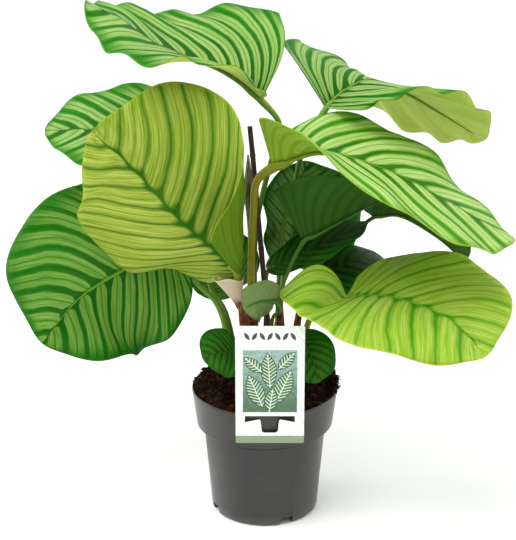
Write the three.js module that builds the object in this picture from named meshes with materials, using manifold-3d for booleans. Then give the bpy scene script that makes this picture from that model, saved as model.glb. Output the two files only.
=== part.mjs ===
// Potted prayer plant with round striped leaves, in a plastic grower pot with a card hung on its rim.
// Millimetres, +Z up. The origin is on the pot's axis, on the surface that the pot stands on.
// Front is -Y, right is +X.
import * as THREE from 'three';
import { mergeVertices } from 'three/addons/utils/BufferGeometryUtils.js';
import Module from 'manifold-3d';

const wasm = await Module();
wasm.setup();

// Pot
const potHeight = 125;
const rimRadius = 70;
const collarHeight = 36;
const collarFootRadius = 65.6;
const stepHeight = 5;
const neckRadius = 58.6;
const footRadius = 51.6;
const heelRound = 2.5;
const potWall = 1.3;
const plateHeight = 4;
const plateThickness = 1.4;
const centrePadRadius = 14;
const rimRound = 1.2;
const rimInset = 0.3;
const collarFoot = potHeight - collarHeight;
// Radius and height of the pot's inner wall, from the plate to the rim
const innerWall = [
  [footRadius - potWall, plateHeight + plateThickness],
  [neckRadius - potWall, collarFoot - stepHeight + 0.5],
  [collarFootRadius - potWall, collarFoot + 0.5],
  [rimRadius - potWall, potHeight],
];
const potSides = 56;
const footNotches = 4;
const firstNotchDegrees = -66;
const notchWidth = 13;
const notchHeight = 7.5;
const notchDepth = 9;
const notchOvershoot = 2;

// Potting mix
const soilSeed = 7;
const soilGap = 0.3;
const soilFacetGap = 0.3;
const soilRings = 7;
const soilSpokes = 40;
const soilEdgeHeight = 123;
const soilHeap = 13;
const soilLumps = 2.2;
const soilOverhang = 3.2;
const soilFrontDip = 1.4;
const soilHillDip = 3;
const soilScatter = 3;

// Stems, blades and the gap kept between touching pieces
const gap = 0.3;
const stemFoot = 112;
const bladeThickness = 1.0;
const stemSides = 6;
const thinnestStem = 1.6;
const thickestStem = 2.7;
const widthPerStemRadius = 60;
const smallLeafWidth = 60;
const stemRingSpacing = 26;
const smallStemRingSpacing = 16;
const fewestStemRings = 5;
// How far a stem runs on under its blade, how deep below it, and the knuckle where they meet
const longestReach = 10;
const widthPerReach = 9;
const kneeDrop = 0.6;
const reachDrop = 0.75;
const knuckleSwell = 0.28;
const knuckleLength = 14;
const holeTop = 165;
const holeGrowth = gap * 1.2;
// A stem's sheath keeps its full radius up to sheathFull above the foot, and is gone sheathFade higher
const sheathFull = 70;
const sheathFade = 35;

// Blade outline: the pointed tip's length and breadth, how full the margin is, how the side veins sweep
// forward, and how a lobe that stands up behind the base rises and falls off
const tipLength = 0.03;
const tipBreadth = 0.16;
const marginFullness = 0.85;
const veinSweep = 2.2;
const veinStraight = 0.55;
const humpTurn = 0.85;
const humpLead = 0.6;
const humpFade = 0.9;
const rightWaveShift = 1.9;
// Veins that a blade has points on, and their places from midrib to margin, by the leaf's width
const bladeGrids = [
  { wider: 120, veins: 13, steps: [0, 0.07, 0.38, 0.72, 1] },
  { wider: 60, veins: 9, steps: [0, 0.09, 0.55, 1] },
  { wider: 0, veins: 7, steps: [0, 0.12, 0.6, 1] },
];

// Where a rolled part starts to open up, and is opened all the way, from the point of its cone
const openFrom = 70;
const openWhole = 130;
const rolledGrid = { veins: 17, steps: [0, 0.06, 0.2, 0.34, 0.48, 0.61, 0.74, 0.87, 1] };

// Card hung on the rim
const cardWidth = 63;
const cardBottom = 98;
const cardTop = 214;
const cardThickness = 0.8;
const cardCentreX = 4.4;
const cardCornerRadius = 1;
const flapTop = potHeight + gap;
const flapThickness = 0.6;
const flapWidth = 46;
const flapBarHeight = 6.5;
const flapShoulderHeight = 3.6;
const tongueWidth = 17;
const tongueLength = 17;
const flapDrop = 13.4;
const tongueTaper = 1;
const tongueCorner = 3;
// Room in the mix for the tongue and for the bar of the flap
const roomInset = 2.4;
const tongueRoom = { side: 2, depth: 6, above: 12 };
const barRoom = { side: 2, depth: 7, height: 10, lift: 4.7 };

// Support cane
const caneRadius = 3;
const caneFoot = [10, 2];
const caneTop = [-14, 5, 379];
const caneSides = 8;
const caneRings = [0, 0.3, 1];

const potColour = 0x645f5b;
const soilColour = 0x3a271b;
const cardColour = 0xeef0ea;
const caneColour = 0x2b211c;
const rolledLeafColour = 0x6d7a55;
const greenMid = 0x3f8f3a;
const greenFresh = 0x6fae34;
const greenYoung = 0x93b13c;
const greenDeep = 0x1f5c33;

// Each leaf: where its stem leaves the mix, the points that the stem passes, and the points along the
// midrib from the blade's base to its tip. faces is the way the upper side looks, from base to tip.
// In left and right, as seen from above along the midrib, rise is the angle of that half above the
// midrib's own plane from base to tip, curl is how far it bends on towards its margin, wide widens it,
// lobe is how far it reaches back behind the base as a share of the length, start how full it is there,
// and hump is how high that lobe stands up. wave is the height, number and phase of the waves along
// the margin. full under marginFullness makes the margin blunter at
// both ends. stout widens the stem. roll is a part of the half that is rolled over the rest.
const leaves = [
  {
    name: 'leaf_top_left', colour: greenMid, width: 170, root: [-8, 9], sheath: 3.4,
    stem: [[-10, 14, 237], [-8, 17, 282], [0, 26, 319], [8, 30, 349], [13, 24, 377]],
    midrib: [[-3, 16, 402], [-23, 18, 419], [-46, 20, 432], [-74, 22, 441], [-104, 22, 455],
      [-130, 20, 475], [-156, 16, 488]],
    faces: [[0, 0, 1]],
    right: { rise: [84, 40, 17, 8, -4], curl: [0, 0, -10], lobe: 0.15, start: 1.1 },
    left: { rise: [22, 16, 7, -3, -28], curl: [0, 0, 0, -20, -20], lobe: 0.02 },
    wave: [4, 5, 0.5],
  },
  {
    name: 'leaf_top_right', colour: greenMid, width: 155, root: [12, 14], sheath: 3.4,
    stem: [[15, 41, 249], [28, 40, 313], [37, 44, 351]],
    midrib: [[56, 46, 387], [75, 58, 401], [101, 68, 409], [136, 76, 394], [169, 78, 374], [207, 78, 350]],
    faces: [[0, 0, 1], [0, 0.1, 1], [0.2, 0.4, 0.85], [0.3, 0.5, 0.85], [0.3, 0.5, 0.85]],
    left: { rise: [82, 16, -2, -6, -4], curl: [0], lobe: 0.27, start: 0.98 },
    right: { rise: [2, -4, -8, -4, 2], curl: [0], wide: 1.14, lobe: 0 },
    wave: [4, 5, 0.5],
  },
  {
    name: 'leaf_right', colour: greenFresh, width: 168, root: [-14, -6], sheath: 5.4,
    stout: 1.4, stem: [[-13, -9, 245], [-11, -11, 299], [-8, -14, 332]],
    midrib: [[6, -15, 348], [46, -22, 363], [84, -30, 357], [125, -36, 342], [165, -42, 321],
      [218, -46, 291]],
    faces: [[0, 0, 1]],
    left: { rise: [24, 14, 10, 3, -2], curl: [0], lobe: 0, start: 0.15 },
    right: { rise: [80, 14, -2, -7, -16], curl: [0, 0, 0], lobe: 0.04, start: 0.6 },
    wave: [3, 4, 0.2],
  },
  {
    name: 'leaf_front_left', colour: greenYoung, width: 190, root: [-4, -18], sheath: 7,
    stem: [[-23, -27, 217]],
    midrib: [[-26, -32, 249], [-46, -43, 277], [-76, -54, 309], [-118, -56, 359], [-148, -49, 384]],
    faces: [[-0.3, -1, 0.3], [-0.1, -1, 0.4], [0, -1, 0.4]],
    right: {
      rise: [4, 4, 4, 0], curl: [0, 0, 20, 0, 0], wide: 1.17, full: 0.7, lobe: 0.05, start: 0.62,
      roll: { from: 23, cone: 13, turn: 180, behind: 14, opens: 5 },
    },
    left: { rise: [-27, -34, -40], curl: [-20, -10, 0], wide: 1.04, lobe: 0.05 },
    wave: [1.5, 3, 2.6],
  },
  {
    name: 'leaf_back_left', colour: greenMid, width: 140, root: [-22, 8], sheath: 3.4,
    stem: [[-37, 14, 191], [-53, 34, 216], [-57, 52, 275]],
    midrib: [[-57, 58, 343], [-109, 62, 358], [-168, 62, 362], [-204, 60, 361]],
    faces: [[0, 0, 1]],
    right: { rise: [28, 26, 20], curl: [0] },
    left: { rise: [-8, -14, -20], curl: [0] },
    wave: [3, 4, 0.2],
  },
  {
    name: 'leaf_lower_left', colour: greenMid, width: 190, root: [-26, -4], sheath: 3.4,
    stem: [[-41, 2, 197], [-65, 10, 227]],
    midrib: [[-88, 15, 261], [-130, 1, 244], [-173, -12, 219], [-206, -22, 181]],
    faces: [[-0.3, -0.8, 0.6], [-0.35, -0.85, 0.5]],
    right: { rise: [12, 5, 0], curl: [0], wide: 1.06 },
    left: { rise: [-28, -44, -30], curl: [0, -20, -10], wide: 0.93 },
    wave: [2.5, 4, 0.2],
  },
  {
    name: 'leaf_front_right', colour: greenFresh, width: 178, root: [22, -16], sheath: 3.4,
    stem: [[38, -22, 191], [51, -26, 212]],
    midrib: [[75, -30, 227], [107, -52, 236], [137, -76, 236], [166, -98, 228], [189, -116, 207]],
    faces: [[0, 0, 1]],
    left: { rise: [18, 12, 14], curl: [0] },
    right: { rise: [3, -4, -10], curl: [0, -10, -10], lobe: 0.34, start: 0.25, hump: 40 },
    wave: [3, 3, 0.2],
  },
  {
    name: 'leaf_folded_middle', colour: greenDeep, width: 112, root: [14, -10], sheath: 5.4,
    stem: [[15, -13, 215], [22, -14, 247]],
    midrib: [[35, -8, 274], [63, -6, 289], [95, 0, 305], [121, 6, 312]],
    faces: [[0, 0, 1]],
    left: { rise: [30, 20, 10], curl: [0, 0, -10] },
    right: { rise: [88, 62, 42], curl: [0], wide: 1.12, lobe: 0.36, start: 1.05 },
    wave: [2, 3, 0.2],
  },
  {
    name: 'leaf_upright_back', colour: greenMid, width: 136, root: [0, 26], sheath: 3,
    stem: [[16, 42, 197]],
    midrib: [[19, 64, 228], [27, 72, 258], [33, 78, 291], [39, 78, 324]],
    faces: [[0, -1, 0.2]],
    left: { rise: [60, 58, 40], curl: [0, 0, -10], wide: 0.85 },
    right: { rise: [-22], curl: [0], wide: 1.06 },
    wave: [2, 3, 0.2],
  },
  {
    name: 'leaf_low_middle', colour: greenDeep, width: 80, root: [1, 13], sheath: 2.6,
    stem: [[1, 8, 210]],
    midrib: [[2, 9, 239], [33, 13, 254], [66, 18, 268], [95, 24, 281]],
    faces: [[0, 0, 1]],
    left: { rise: [10, 10, 0], curl: [0, 0, -10], wide: 0.8, start: 0.12, lobe: 0 },
    right: { rise: [-10, -10, 0], curl: [0], wide: 0.7, start: 0.2, lobe: 0 },
    wave: [1.5, 3, 0.2],
  },
  {
    name: 'leaf_low_right', colour: greenDeep, width: 96, root: [24, 3], sheath: 2.6,
    stem: [[36, 12, 208]],
    midrib: [[50, 22, 220], [77, 36, 236], [106, 46, 237], [132, 52, 218]],
    faces: [[0, 0, 1]],
    left: { rise: [6, 6, 0], curl: [0, 0, -10], wide: 0.8, start: 0.2, lobe: 0 },
    right: { rise: [-10, -10, 0], curl: [0] },
    wave: [2, 3, 0.2],
  },
  {
    name: 'leaf_drooping_right', colour: greenDeep, width: 76, root: [22, 17], sheath: 2.8,
    stem: [[36, 24, 208], [64, 34, 249], [87, 38, 269]],
    midrib: [[103, 40, 282], [130, 48, 281], [166, 54, 258], [193, 56, 233]],
    faces: [[0, 0, 1]],
    left: { rise: [10, 10, 10], curl: [0, 0, -10] },
    right: { rise: [80, 70, 40], curl: [0] },
    wave: [2, 3, 0.2],
  },
  {
    name: 'leaf_small_centre', colour: greenDeep, width: 42, root: [6, -22], sheath: 2.4,
    stem: [[6, -30, 199], [13, -42, 216]],
    midrib: [[9, -50, 230], [0, -57, 233], [-9, -62, 233], [-19, -64, 229]],
    faces: [[0, 1, 0.1]],
    left: { rise: [0], curl: [0] },
    right: { rise: [0], curl: [0] },
    wave: [1, 3, 0.2],
  },
  {
    name: 'leaf_small_left', colour: greenDeep, width: 52, root: [-16, -18], sheath: 2.2,
    stem: [[-18, -34, 170]],
    midrib: [[-23, -42, 177], [-35, -50, 180], [-46, -56, 181], [-56, -60, 178]],
    faces: [[-0.1, -0.7, 0.7]],
    left: { rise: [0], curl: [0, 0, -10] },
    right: { rise: [0], curl: [0] },
    wave: [1, 3, 0.2],
  },
  {
    name: 'leaf_small_right', colour: greenDeep, width: 48, root: [16, -28], sheath: 2.2,
    stem: [[23, -36, 188]],
    midrib: [[30, -44, 194], [39, -54, 185], [45, -60, 171], [48, -62, 156]],
    faces: [[0.2, -0.8, 0.6]],
    left: { rise: [0], curl: [0, 0, -10] },
    right: { rise: [0], curl: [0] },
    wave: [1, 3, 0.2],
  },
  {
    name: 'leaf_low_back', colour: greenMid, width: 74, root: [-12, 22], sheath: 2.6,
    stem: [[-20, 34, 185]],
    midrib: [[-24, 54, 205], [-38, 66, 220], [-52, 74, 232], [-65, 80, 240]],
    faces: [[-0.2, -0.8, 0.5]],
    left: { rise: [0], curl: [0, 0, -10] },
    right: { rise: [0], curl: [0] },
    wave: [2, 3, 0.2],
  },
];

// Rolled new leaf: points of its axis and its radius there
const rolledLeafAxis = [[-4, -4, 112], [-9, -2, 200], [-13, -1, 255], [-14, -2, 289], [-14.5, -4, 315],
  [-15, -4, 335], [-15.5, -4, 355]];
const rolledLeafRadii = [2.2, 2.2, 2.2, 2.6, 4.8, 3.6, 0.6];
const rolledLeafLap = 0.22;
const rolledLeafSides = 9;
const rolledLeafTwist = 0.35;

function vector(p) {
  return new THREE.Vector3(p[0], p[1], p[2]);
}

// Smooth value between evenly spaced knots, at share t of the way along them
function along(knots, t) {
  const last = knots.length - 1;
  if (last === 0) {
    return knots[0];
  }
  const place = THREE.MathUtils.clamp(t, 0, 1) * last;
  const i = Math.min(Math.floor(place), last - 1);
  const w = place - i;
  const p1 = knots[i];
  const p2 = knots[i + 1];
  const p0 = i > 0 ? knots[i - 1] : 2 * p1 - p2;
  const p3 = i + 2 <= last ? knots[i + 2] : 2 * p2 - p1;
  const v0 = (p2 - p0) / 2;
  const v1 = (p3 - p1) / 2;
  return ((2 * p1 - 2 * p2 + v0 + v1) * w + (-3 * p1 + 3 * p2 - 2 * v0 - v1)) * w * w + v0 * w + p1;
}

function alongVectors(knots, t) {
  return new THREE.Vector3(...[0, 1, 2].map((k) => along(knots.map((p) => p[k]), t)));
}

// Seeded draws, so that the heap of mix is the same every time
function makeRandom(seed) {
  let state = seed;
  return () => {
    state = (state * 1664525 + 1013904223) % 4294967296;
    return state / 4294967296;
  };
}

function geometryFrom(points, triangles) {
  const geometry = new THREE.BufferGeometry();
  const flat = [];
  for (const p of points) {
    flat.push(p.x, p.y, p.z);
  }
  geometry.setAttribute('position', new THREE.Float32BufferAttribute(flat, 3));
  geometry.setIndex(triangles.flat());
  return geometry;
}

function solidFrom(source) {
  const plain = source.clone();
  plain.deleteAttribute('normal');
  plain.deleteAttribute('uv');
  const merged = mergeVertices(plain, 1e-4);
  const mesh = new wasm.Mesh({
    numProp: 3,
    vertProperties: new Float32Array(merged.attributes.position.array),
    triVerts: new Uint32Array(merged.index.array),
  });
  return new wasm.Manifold(mesh);
}

function geometryOf(solid) {
  const mesh = solid.getMesh();
  const geometry = new THREE.BufferGeometry();
  geometry.setAttribute('position', new THREE.BufferAttribute(new Float32Array(mesh.vertProperties), 3));
  geometry.setIndex(new THREE.BufferAttribute(new Uint32Array(mesh.triVerts), 1));
  return geometry;
}

// Round rod through rings of points, with a level foot, closed with a fan at each end
function rodThrough(centres, radii, sides) {
  const points = [];
  const triangles = [];
  const count = centres.length;
  const heading = new THREE.Vector3();
  const side = new THREE.Vector3(1, 0, 0);
  for (let i = 0; i < count; i += 1) {
    heading.subVectors(centres[Math.min(i + 1, count - 1)], centres[Math.max(i - 1, 0)]).normalize();
    if (i === 0) {
      heading.set(0, 0, 1);
    }
    side.addScaledVector(heading, -side.dot(heading)).normalize();
    const across = new THREE.Vector3().crossVectors(heading, side);
    for (let j = 0; j < sides; j += 1) {
      const angle = (2 * Math.PI * j) / sides;
      const point = centres[i].clone();
      point.addScaledVector(side, radii[i] * Math.cos(angle));
      point.addScaledVector(across, radii[i] * Math.sin(angle));
      points.push(point);
    }
  }
  for (let i = 0; i + 1 < count; i += 1) {
    for (let j = 0; j < sides; j += 1) {
      const a = i * sides + j;
      const b = i * sides + ((j + 1) % sides);
      triangles.push([a, b, b + sides], [a, b + sides, a + sides]);
    }
  }
  const foot = points.push(centres[0].clone()) - 1;
  const head = points.push(centres[count - 1].clone()) - 1;
  for (let j = 0; j < sides; j += 1) {
    const k = (j + 1) % sides;
    const top = (count - 1) * sides;
    triangles.push([foot, k, j], [head, top + j, top + k]);
  }
  return geometryFrom(points, triangles);
}

// The midrib as a curve that runs straight on past both of its ends, with its length
function midribOf(leaf) {
  const curve = new THREE.CatmullRomCurve3(leaf.midrib.map(vector), false, 'catmullrom', 0.5);
  curve.arcLengthDivisions = 400;
  const length = curve.getLength();
  const faces = leaf.faces;
  return {
    length,
    at(x) {
      const u = THREE.MathUtils.clamp(x / length, 0, 1);
      const tangent = curve.getTangentAt(u);
      const upper = alongVectors(faces, u).normalize();
      const across = new THREE.Vector3().crossVectors(tangent, upper).normalize();
      const normal = new THREE.Vector3().crossVectors(across, tangent);
      const place = curve.getPointAt(u).addScaledVector(tangent, x - u * length);
      return { place, tangent, across, normal };
    },
  };
}

// Where a point of a half lies once the part past a line through the base is rolled up and over the
// rest, and the way that the blade faces there, both given along the midrib, out from it and up. from is
// the angle between midrib and line, cone half the angle of the cone that the roll follows, behind how
// far back along the line its point lies, turn how far round it goes, and opens how far the line swings
// out on its way to the margin.
function rolledOver(roll, x, y) {
  if (!roll) {
    return { spot: new THREE.Vector3(x, y, 0), facing: new THREE.Vector3(0, 0, 1) };
  }
  const upright = new THREE.Vector3(0, 0, 1);
  const apex = new THREE.Vector3(-roll.behind, 0, 0);
  apex.applyAxisAngle(upright, THREE.MathUtils.degToRad(roll.from));
  const reach = Math.hypot(x - apex.x, y - apex.y);
  const opened = roll.opens * THREE.MathUtils.smoothstep(reach, openFrom, openWhole);
  const start = THREE.MathUtils.degToRad(roll.from + opened);
  const past = Math.atan2(y - apex.y, x - apex.x) - start;
  if (past <= 0) {
    return { spot: new THREE.Vector3(x, y, 0), facing: upright };
  }
  const cone = THREE.MathUtils.degToRad(roll.cone);
  const turned = Math.min(past / Math.sin(cone), THREE.MathUtils.degToRad(roll.turn));
  const flat = past - turned * Math.sin(cone);
  const spoke = new THREE.Vector3(Math.sin(cone), 0, -Math.cos(cone)).multiplyScalar(Math.cos(turned));
  spoke.y = Math.sin(turned);
  const side = new THREE.Vector3(-Math.sin(cone), 0, Math.cos(cone)).multiplyScalar(Math.sin(turned));
  side.y = Math.cos(turned);
  const spot = new THREE.Vector3(Math.cos(cone), 0, Math.sin(cone)).multiplyScalar(Math.cos(cone));
  spot.addScaledVector(spoke, Math.sin(cone));
  const facing = new THREE.Vector3().crossVectors(spot, side).applyAxisAngle(upright, start);
  spot.multiplyScalar(Math.cos(flat)).addScaledVector(side, Math.sin(flat)).multiplyScalar(reach);
  return { spot: spot.applyAxisAngle(upright, start).add(apex), facing };
}

// One point of a half blade. vein runs from 0 at the base to 1 at the tip, out from 0 at the midrib
// to 1 at the margin.
function bladePoint(leaf, rib, half, vein, out) {
  const shape = leaf[half];
  const sign = half === 'left' ? -1 : 1;
  const length = rib.length;
  const halfWidth = leaf.width / 2;
  const start = shape.start ?? 0.3;
  const angle = start + (Math.PI - start) * vein;
  const back = -(shape.lobe ?? 0.06) * length;
  const drip = tipLength * length * Math.exp(-(((Math.PI - angle) / tipBreadth) ** 2));
  const marginX = back + ((length - back) * (1 - Math.cos(angle))) / 2 + drip;
  const marginY = halfWidth * (shape.wide ?? 1) * Math.sin(angle) ** (shape.full ?? marginFullness);
  const ribX = length * vein ** veinSweep;
  const planX = ribX + (marginX - ribX) * (veinStraight * out + (1 - veinStraight) * out ** veinSweep);
  const { spot, facing } = rolledOver(shape.roll, planX, marginY * out);
  const { x, y } = spot;
  const frame = rib.at(x);
  const share = x / length;
  const rise = THREE.MathUtils.degToRad(along(shape.rise, share));
  const bend = THREE.MathUtils.degToRad(along(shape.curl, share)) / halfWidth;
  const tilt = rise + bend * y;
  let sideways = y * Math.cos((rise + tilt) / 2);
  let upwards = y * Math.sin((rise + tilt) / 2);
  if (Math.abs(bend * y) > 1e-3) {
    sideways = (Math.sin(tilt) - Math.sin(rise)) / bend;
    upwards = (Math.cos(rise) - Math.cos(tilt)) / bend;
  }
  const behind = THREE.MathUtils.clamp(x / back, 0, 1);
  const hump = Math.sin(humpTurn * Math.PI * behind ** humpLead) * (1 - (humpFade * y) / halfWidth);
  upwards += (shape.hump ?? 0) * hump;
  const outward = frame.across.clone().multiplyScalar(sign * Math.cos(tilt));
  outward.addScaledVector(frame.normal, Math.sin(tilt));
  const above = frame.normal.clone().multiplyScalar(Math.cos(tilt));
  above.addScaledVector(frame.across, -sign * Math.sin(tilt));
  const normal = above.clone().multiplyScalar(facing.z);
  normal.addScaledVector(frame.tangent, facing.x).addScaledVector(outward, facing.y);
  const phase = leaf.wave[2] + (half === 'left' ? 0 : rightWaveShift);
  const ripple = leaf.wave[0] * Math.sin(2 * Math.PI * leaf.wave[1] * vein + phase) * out ** 2
    * Math.sqrt(Math.sin(Math.PI * vein));
  const point = frame.place.clone();
  point.addScaledVector(frame.across, sign * sideways);
  point.addScaledVector(frame.normal, upwards);
  point.addScaledVector(above, spot.z);
  point.addScaledVector(normal, ripple);
  return { point, normal };
}

// A closed blade: the same grid of points on both faces, a thickness apart, with a ridge under the midrib
function bladeGeometry(leaf) {
  const rib = midribOf(leaf);
  const { veins, steps } = leaf.right.roll ? rolledGrid
    : bladeGrids.find((grid) => leaf.width > grid.wider);
  const ridge = leaf.width / widthPerStemRadius;
  const upper = [];
  const lower = [];
  const row = [];
  function addPoint(point, normal, extra) {
    upper.push(point.clone().addScaledVector(normal, bladeThickness / 2));
    lower.push(point.clone().addScaledVector(normal, -bladeThickness / 2 - extra));
    return upper.length - 1;
  }
  for (let i = 0; i < veins; i += 1) {
    const vein = i / veins;
    const places = [];
    for (const half of ['left', 'right']) {
      for (let j = 1; j < steps.length; j += 1) {
        const { point, normal } = bladePoint(leaf, rib, half, vein, steps[j]);
        const index = addPoint(point, normal, 0);
        if (half === 'left') {
          places.unshift(index);
        } else {
          places.push(index);
        }
      }
      if (half === 'left') {
        const frame = rib.at(rib.length * vein ** veinSweep);
        places.push(addPoint(frame.place, frame.normal, ridge * (1 - vein)));
      }
    }
    row.push(places);
  }
  const end = bladePoint(leaf, rib, 'left', 1, 1);
  const tip = addPoint(end.point, end.normal, 0);
  const sheet = [];
  for (let i = 0; i + 1 < veins; i += 1) {
    for (let j = 0; j + 1 < row[i].length; j += 1) {
      const [a, b, c, d] = [row[i][j], row[i][j + 1], row[i + 1][j + 1], row[i + 1][j]];
      const onLeft = j < steps.length - 1;
      sheet.push(...(onLeft ? [[a, b, d], [b, c, d]] : [[a, b, c], [a, c, d]]));
    }
  }
  const lastRow = row[veins - 1];
  for (let j = 0; j + 1 < lastRow.length; j += 1) {
    sheet.push([lastRow[j], lastRow[j + 1], tip]);
  }
  const margin = row.map((places) => places[places.length - 1]);
  margin.push(tip);
  for (let i = veins - 1; i >= 0; i -= 1) {
    margin.push(row[i][0]);
  }
  for (let j = 1; j + 1 < row[0].length; j += 1) {
    margin.push(row[0][j]);
  }
  const shift = upper.length;
  const triangles = [];
  for (const [a, b, c] of sheet) {
    triangles.push([a, b, c], [shift + a, shift + c, shift + b]);
  }
  for (let k = 0; k < margin.length; k += 1) {
    const a = margin[k];
    const b = margin[(k + 1) % margin.length];
    triangles.push([b, a, shift + a], [b, shift + a, shift + b]);
  }
  return geometryFrom([...upper, ...lower], triangles);
}

// Centres and radii of a leaf's stem, from the mix to a little way under the blade
function stemOf(leaf) {
  const rib = midribOf(leaf);
  const reach = Math.min(longestReach, leaf.width / widthPerReach);
  const under = rib.at(reach);
  const usual = THREE.MathUtils.clamp(leaf.width / widthPerStemRadius, thinnestStem, thickestStem);
  const thin = usual * (leaf.stout ?? 1);
  const end = under.place.addScaledVector(under.normal, -thin * reachDrop);
  const knee = rib.at(0);
  const kneePlace = knee.place.addScaledVector(knee.normal, -thin * kneeDrop);
  const stops = [vector([...leaf.root, stemFoot]), ...leaf.stem.map(vector), kneePlace, end];
  const curve = new THREE.CatmullRomCurve3(stops, false, 'catmullrom', 0.5);
  const length = curve.getLength();
  const spacing = leaf.width > smallLeafWidth ? stemRingSpacing : smallStemRingSpacing;
  const count = Math.max(fewestStemRings, Math.round(length / spacing));
  const centres = [];
  const radii = [];
  for (let i = 0; i <= count; i += 1) {
    const share = i / count;
    const height = share * length;
    centres.push(curve.getPointAt(share));
    const sheath = (leaf.sheath - thin) * Math.max(0, 1 - Math.max(0, height - sheathFull) / sheathFade);
    const fromKnee = (length - reach - height) / knuckleLength;
    const knuckle = knuckleSwell * thin * Math.exp(-(fromKnee ** 2));
    radii.push(thin + sheath + knuckle);
  }
  return { centres, radii };
}

function stemRod(leaf, grow) {
  const { centres, radii } = stemOf(leaf);
  return rodThrough(centres, radii.map((r) => r + grow), stemSides);
}

function leafSolid(leaf) {
  return solidFrom(bladeGeometry(leaf)).add(solidFrom(stemRod(leaf, 0)));
}

// Pot profile, from the axis under the plate, out and up the outside, over the rim and down the inside
function potProfile() {
  const outline = [
    [0, 0],
    [centrePadRadius, 0],
    [centrePadRadius + 1, plateHeight],
    [footRadius - heelRound - potWall - 1, plateHeight],
    [footRadius - heelRound - potWall, 0],
    [footRadius - heelRound, 0],
    [footRadius - heelRound * 0.3, heelRound * 0.3],
    [footRadius, heelRound],
    [neckRadius, collarFoot - stepHeight],
    [collarFootRadius, collarFoot],
    [rimRadius, potHeight - rimRound],
    [rimRadius - rimInset, potHeight],
    ...innerWall.toReversed(),
    [0, plateHeight + plateThickness],
  ];
  return outline.map(([x, y]) => new THREE.Vector2(x, y));
}

function latheUp(profile, sides) {
  const geometry = new THREE.LatheGeometry(profile, sides);
  geometry.rotateX(Math.PI / 2);
  return geometry;
}

function boxSolid(sizeX, sizeY, sizeZ, place, turn = 0) {
  const box = new THREE.BoxGeometry(sizeX, sizeY, sizeZ);
  box.translate(...place);
  box.rotateZ(turn);
  return solidFrom(box);
}

function potSolid() {
  let pot = solidFrom(latheUp(potProfile(), potSides));
  for (let i = 0; i < footNotches; i += 1) {
    const turn = THREE.MathUtils.degToRad(firstNotchDegrees + (360 / footNotches) * i);
    const place = [footRadius + (notchOvershoot - notchDepth) / 2, 0, (notchHeight - notchOvershoot) / 2];
    pot = pot.subtract(boxSolid(notchDepth, notchWidth, notchHeight + notchOvershoot, place, turn));
  }
  return pot;
}

// Inside radius of the pot at a height, less a gap
function insideRadius(z) {
  const last = innerWall.length - 1;
  const i = Math.max(1, innerWall.findIndex((stop) => z <= stop[1]));
  const [r0, z0] = innerWall[i - 1];
  const [r1, z1] = innerWall[i];
  return z > potHeight ? innerWall[last][0] - soilGap : r0 + ((r1 - r0) * (z - z0)) / (z1 - z0) - soilGap;
}

// The mix: a plug that fills the pot, heaped above the rim, and spilling a little over it on the right
function soilGeometry() {
  const random = makeRandom(soilSeed);
  const points = [];
  const triangles = [];
  const floor = plateHeight + plateThickness + soilGap;
  const levels = [floor, innerWall[1][1], innerWall[2][1], potHeight - 3];
  function addRing(radiusAt, heightAt) {
    for (let j = 0; j < soilSpokes; j += 1) {
      const angle = (2 * Math.PI * j) / soilSpokes;
      const front = Math.max(0, -Math.sin(angle));
      const right = Math.max(0, Math.cos(angle - 0.1)) ** 3;
      const r = radiusAt(front, right);
      points.push(new THREE.Vector3(r * Math.cos(angle), r * Math.sin(angle), heightAt(front, right)));
    }
  }
  for (const z of levels) {
    addRing(() => insideRadius(z) - soilFacetGap, () => z);
  }
  const lip = insideRadius(potHeight) - soilFacetGap;
  addRing(() => lip, (front, right) => potHeight + 0.4 - soilFrontDip * front * (1 - right));
  addRing(
    (front, right) => lip - 0.6 + right * soilOverhang * (0.8 + 0.7 * random()),
    (front, right) => potHeight + 1.2 + 1.6 * right + 0.8 * random()
      - soilFrontDip * front * (1 - right),
  );
  for (let i = 1; i < soilRings; i += 1) {
    const share = 1 - i / soilRings;
    const height = soilEdgeHeight + soilHeap * (1 - share ** 3);
    addRing(
      () => lip * share + (random() - 0.5) * soilScatter,
      (front) => height + soilHillDip * ((1 - front) * share - front * (1 - share))
        + (random() - 0.5) * 2 * soilLumps,
    );
  }
  const rings = levels.length + 1 + soilRings;
  for (let i = 0; i + 1 < rings; i += 1) {
    for (let j = 0; j < soilSpokes; j += 1) {
      const a = i * soilSpokes + j;
      const b = i * soilSpokes + ((j + 1) % soilSpokes);
      triangles.push([a, b, b + soilSpokes], [a, b + soilSpokes, a + soilSpokes]);
    }
  }
  const bottom = points.push(new THREE.Vector3(0, 0, floor)) - 1;
  const top = points.push(new THREE.Vector3(0, 0, soilEdgeHeight + soilHeap + 1)) - 1;
  for (let j = 0; j < soilSpokes; j += 1) {
    const k = (j + 1) % soilSpokes;
    const last = (rings - 1) * soilSpokes;
    triangles.push([bottom, k, j], [top, last + j, last + k]);
  }
  return geometryFrom(points, triangles);
}

// A hole in the mix that follows the foot of a rod, a gap wider all round and a gap deeper
function holeSolid(centres, radii, sides) {
  const last = centres.findIndex((p) => p.z > holeTop);
  const path = centres.slice(0, last + 1);
  const rise = path[1].clone().sub(path[0]);
  path[0] = path[0].clone().addScaledVector(rise, -gap / rise.z);
  return solidFrom(rodThrough(path, radii.slice(0, last + 1).map((r) => r + holeGrowth), sides));
}

function caneCentres() {
  const foot = vector([...caneFoot, stemFoot]);
  const head = vector(caneTop);
  return caneRings.map((t) => foot.clone().lerp(head, t));
}

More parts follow.
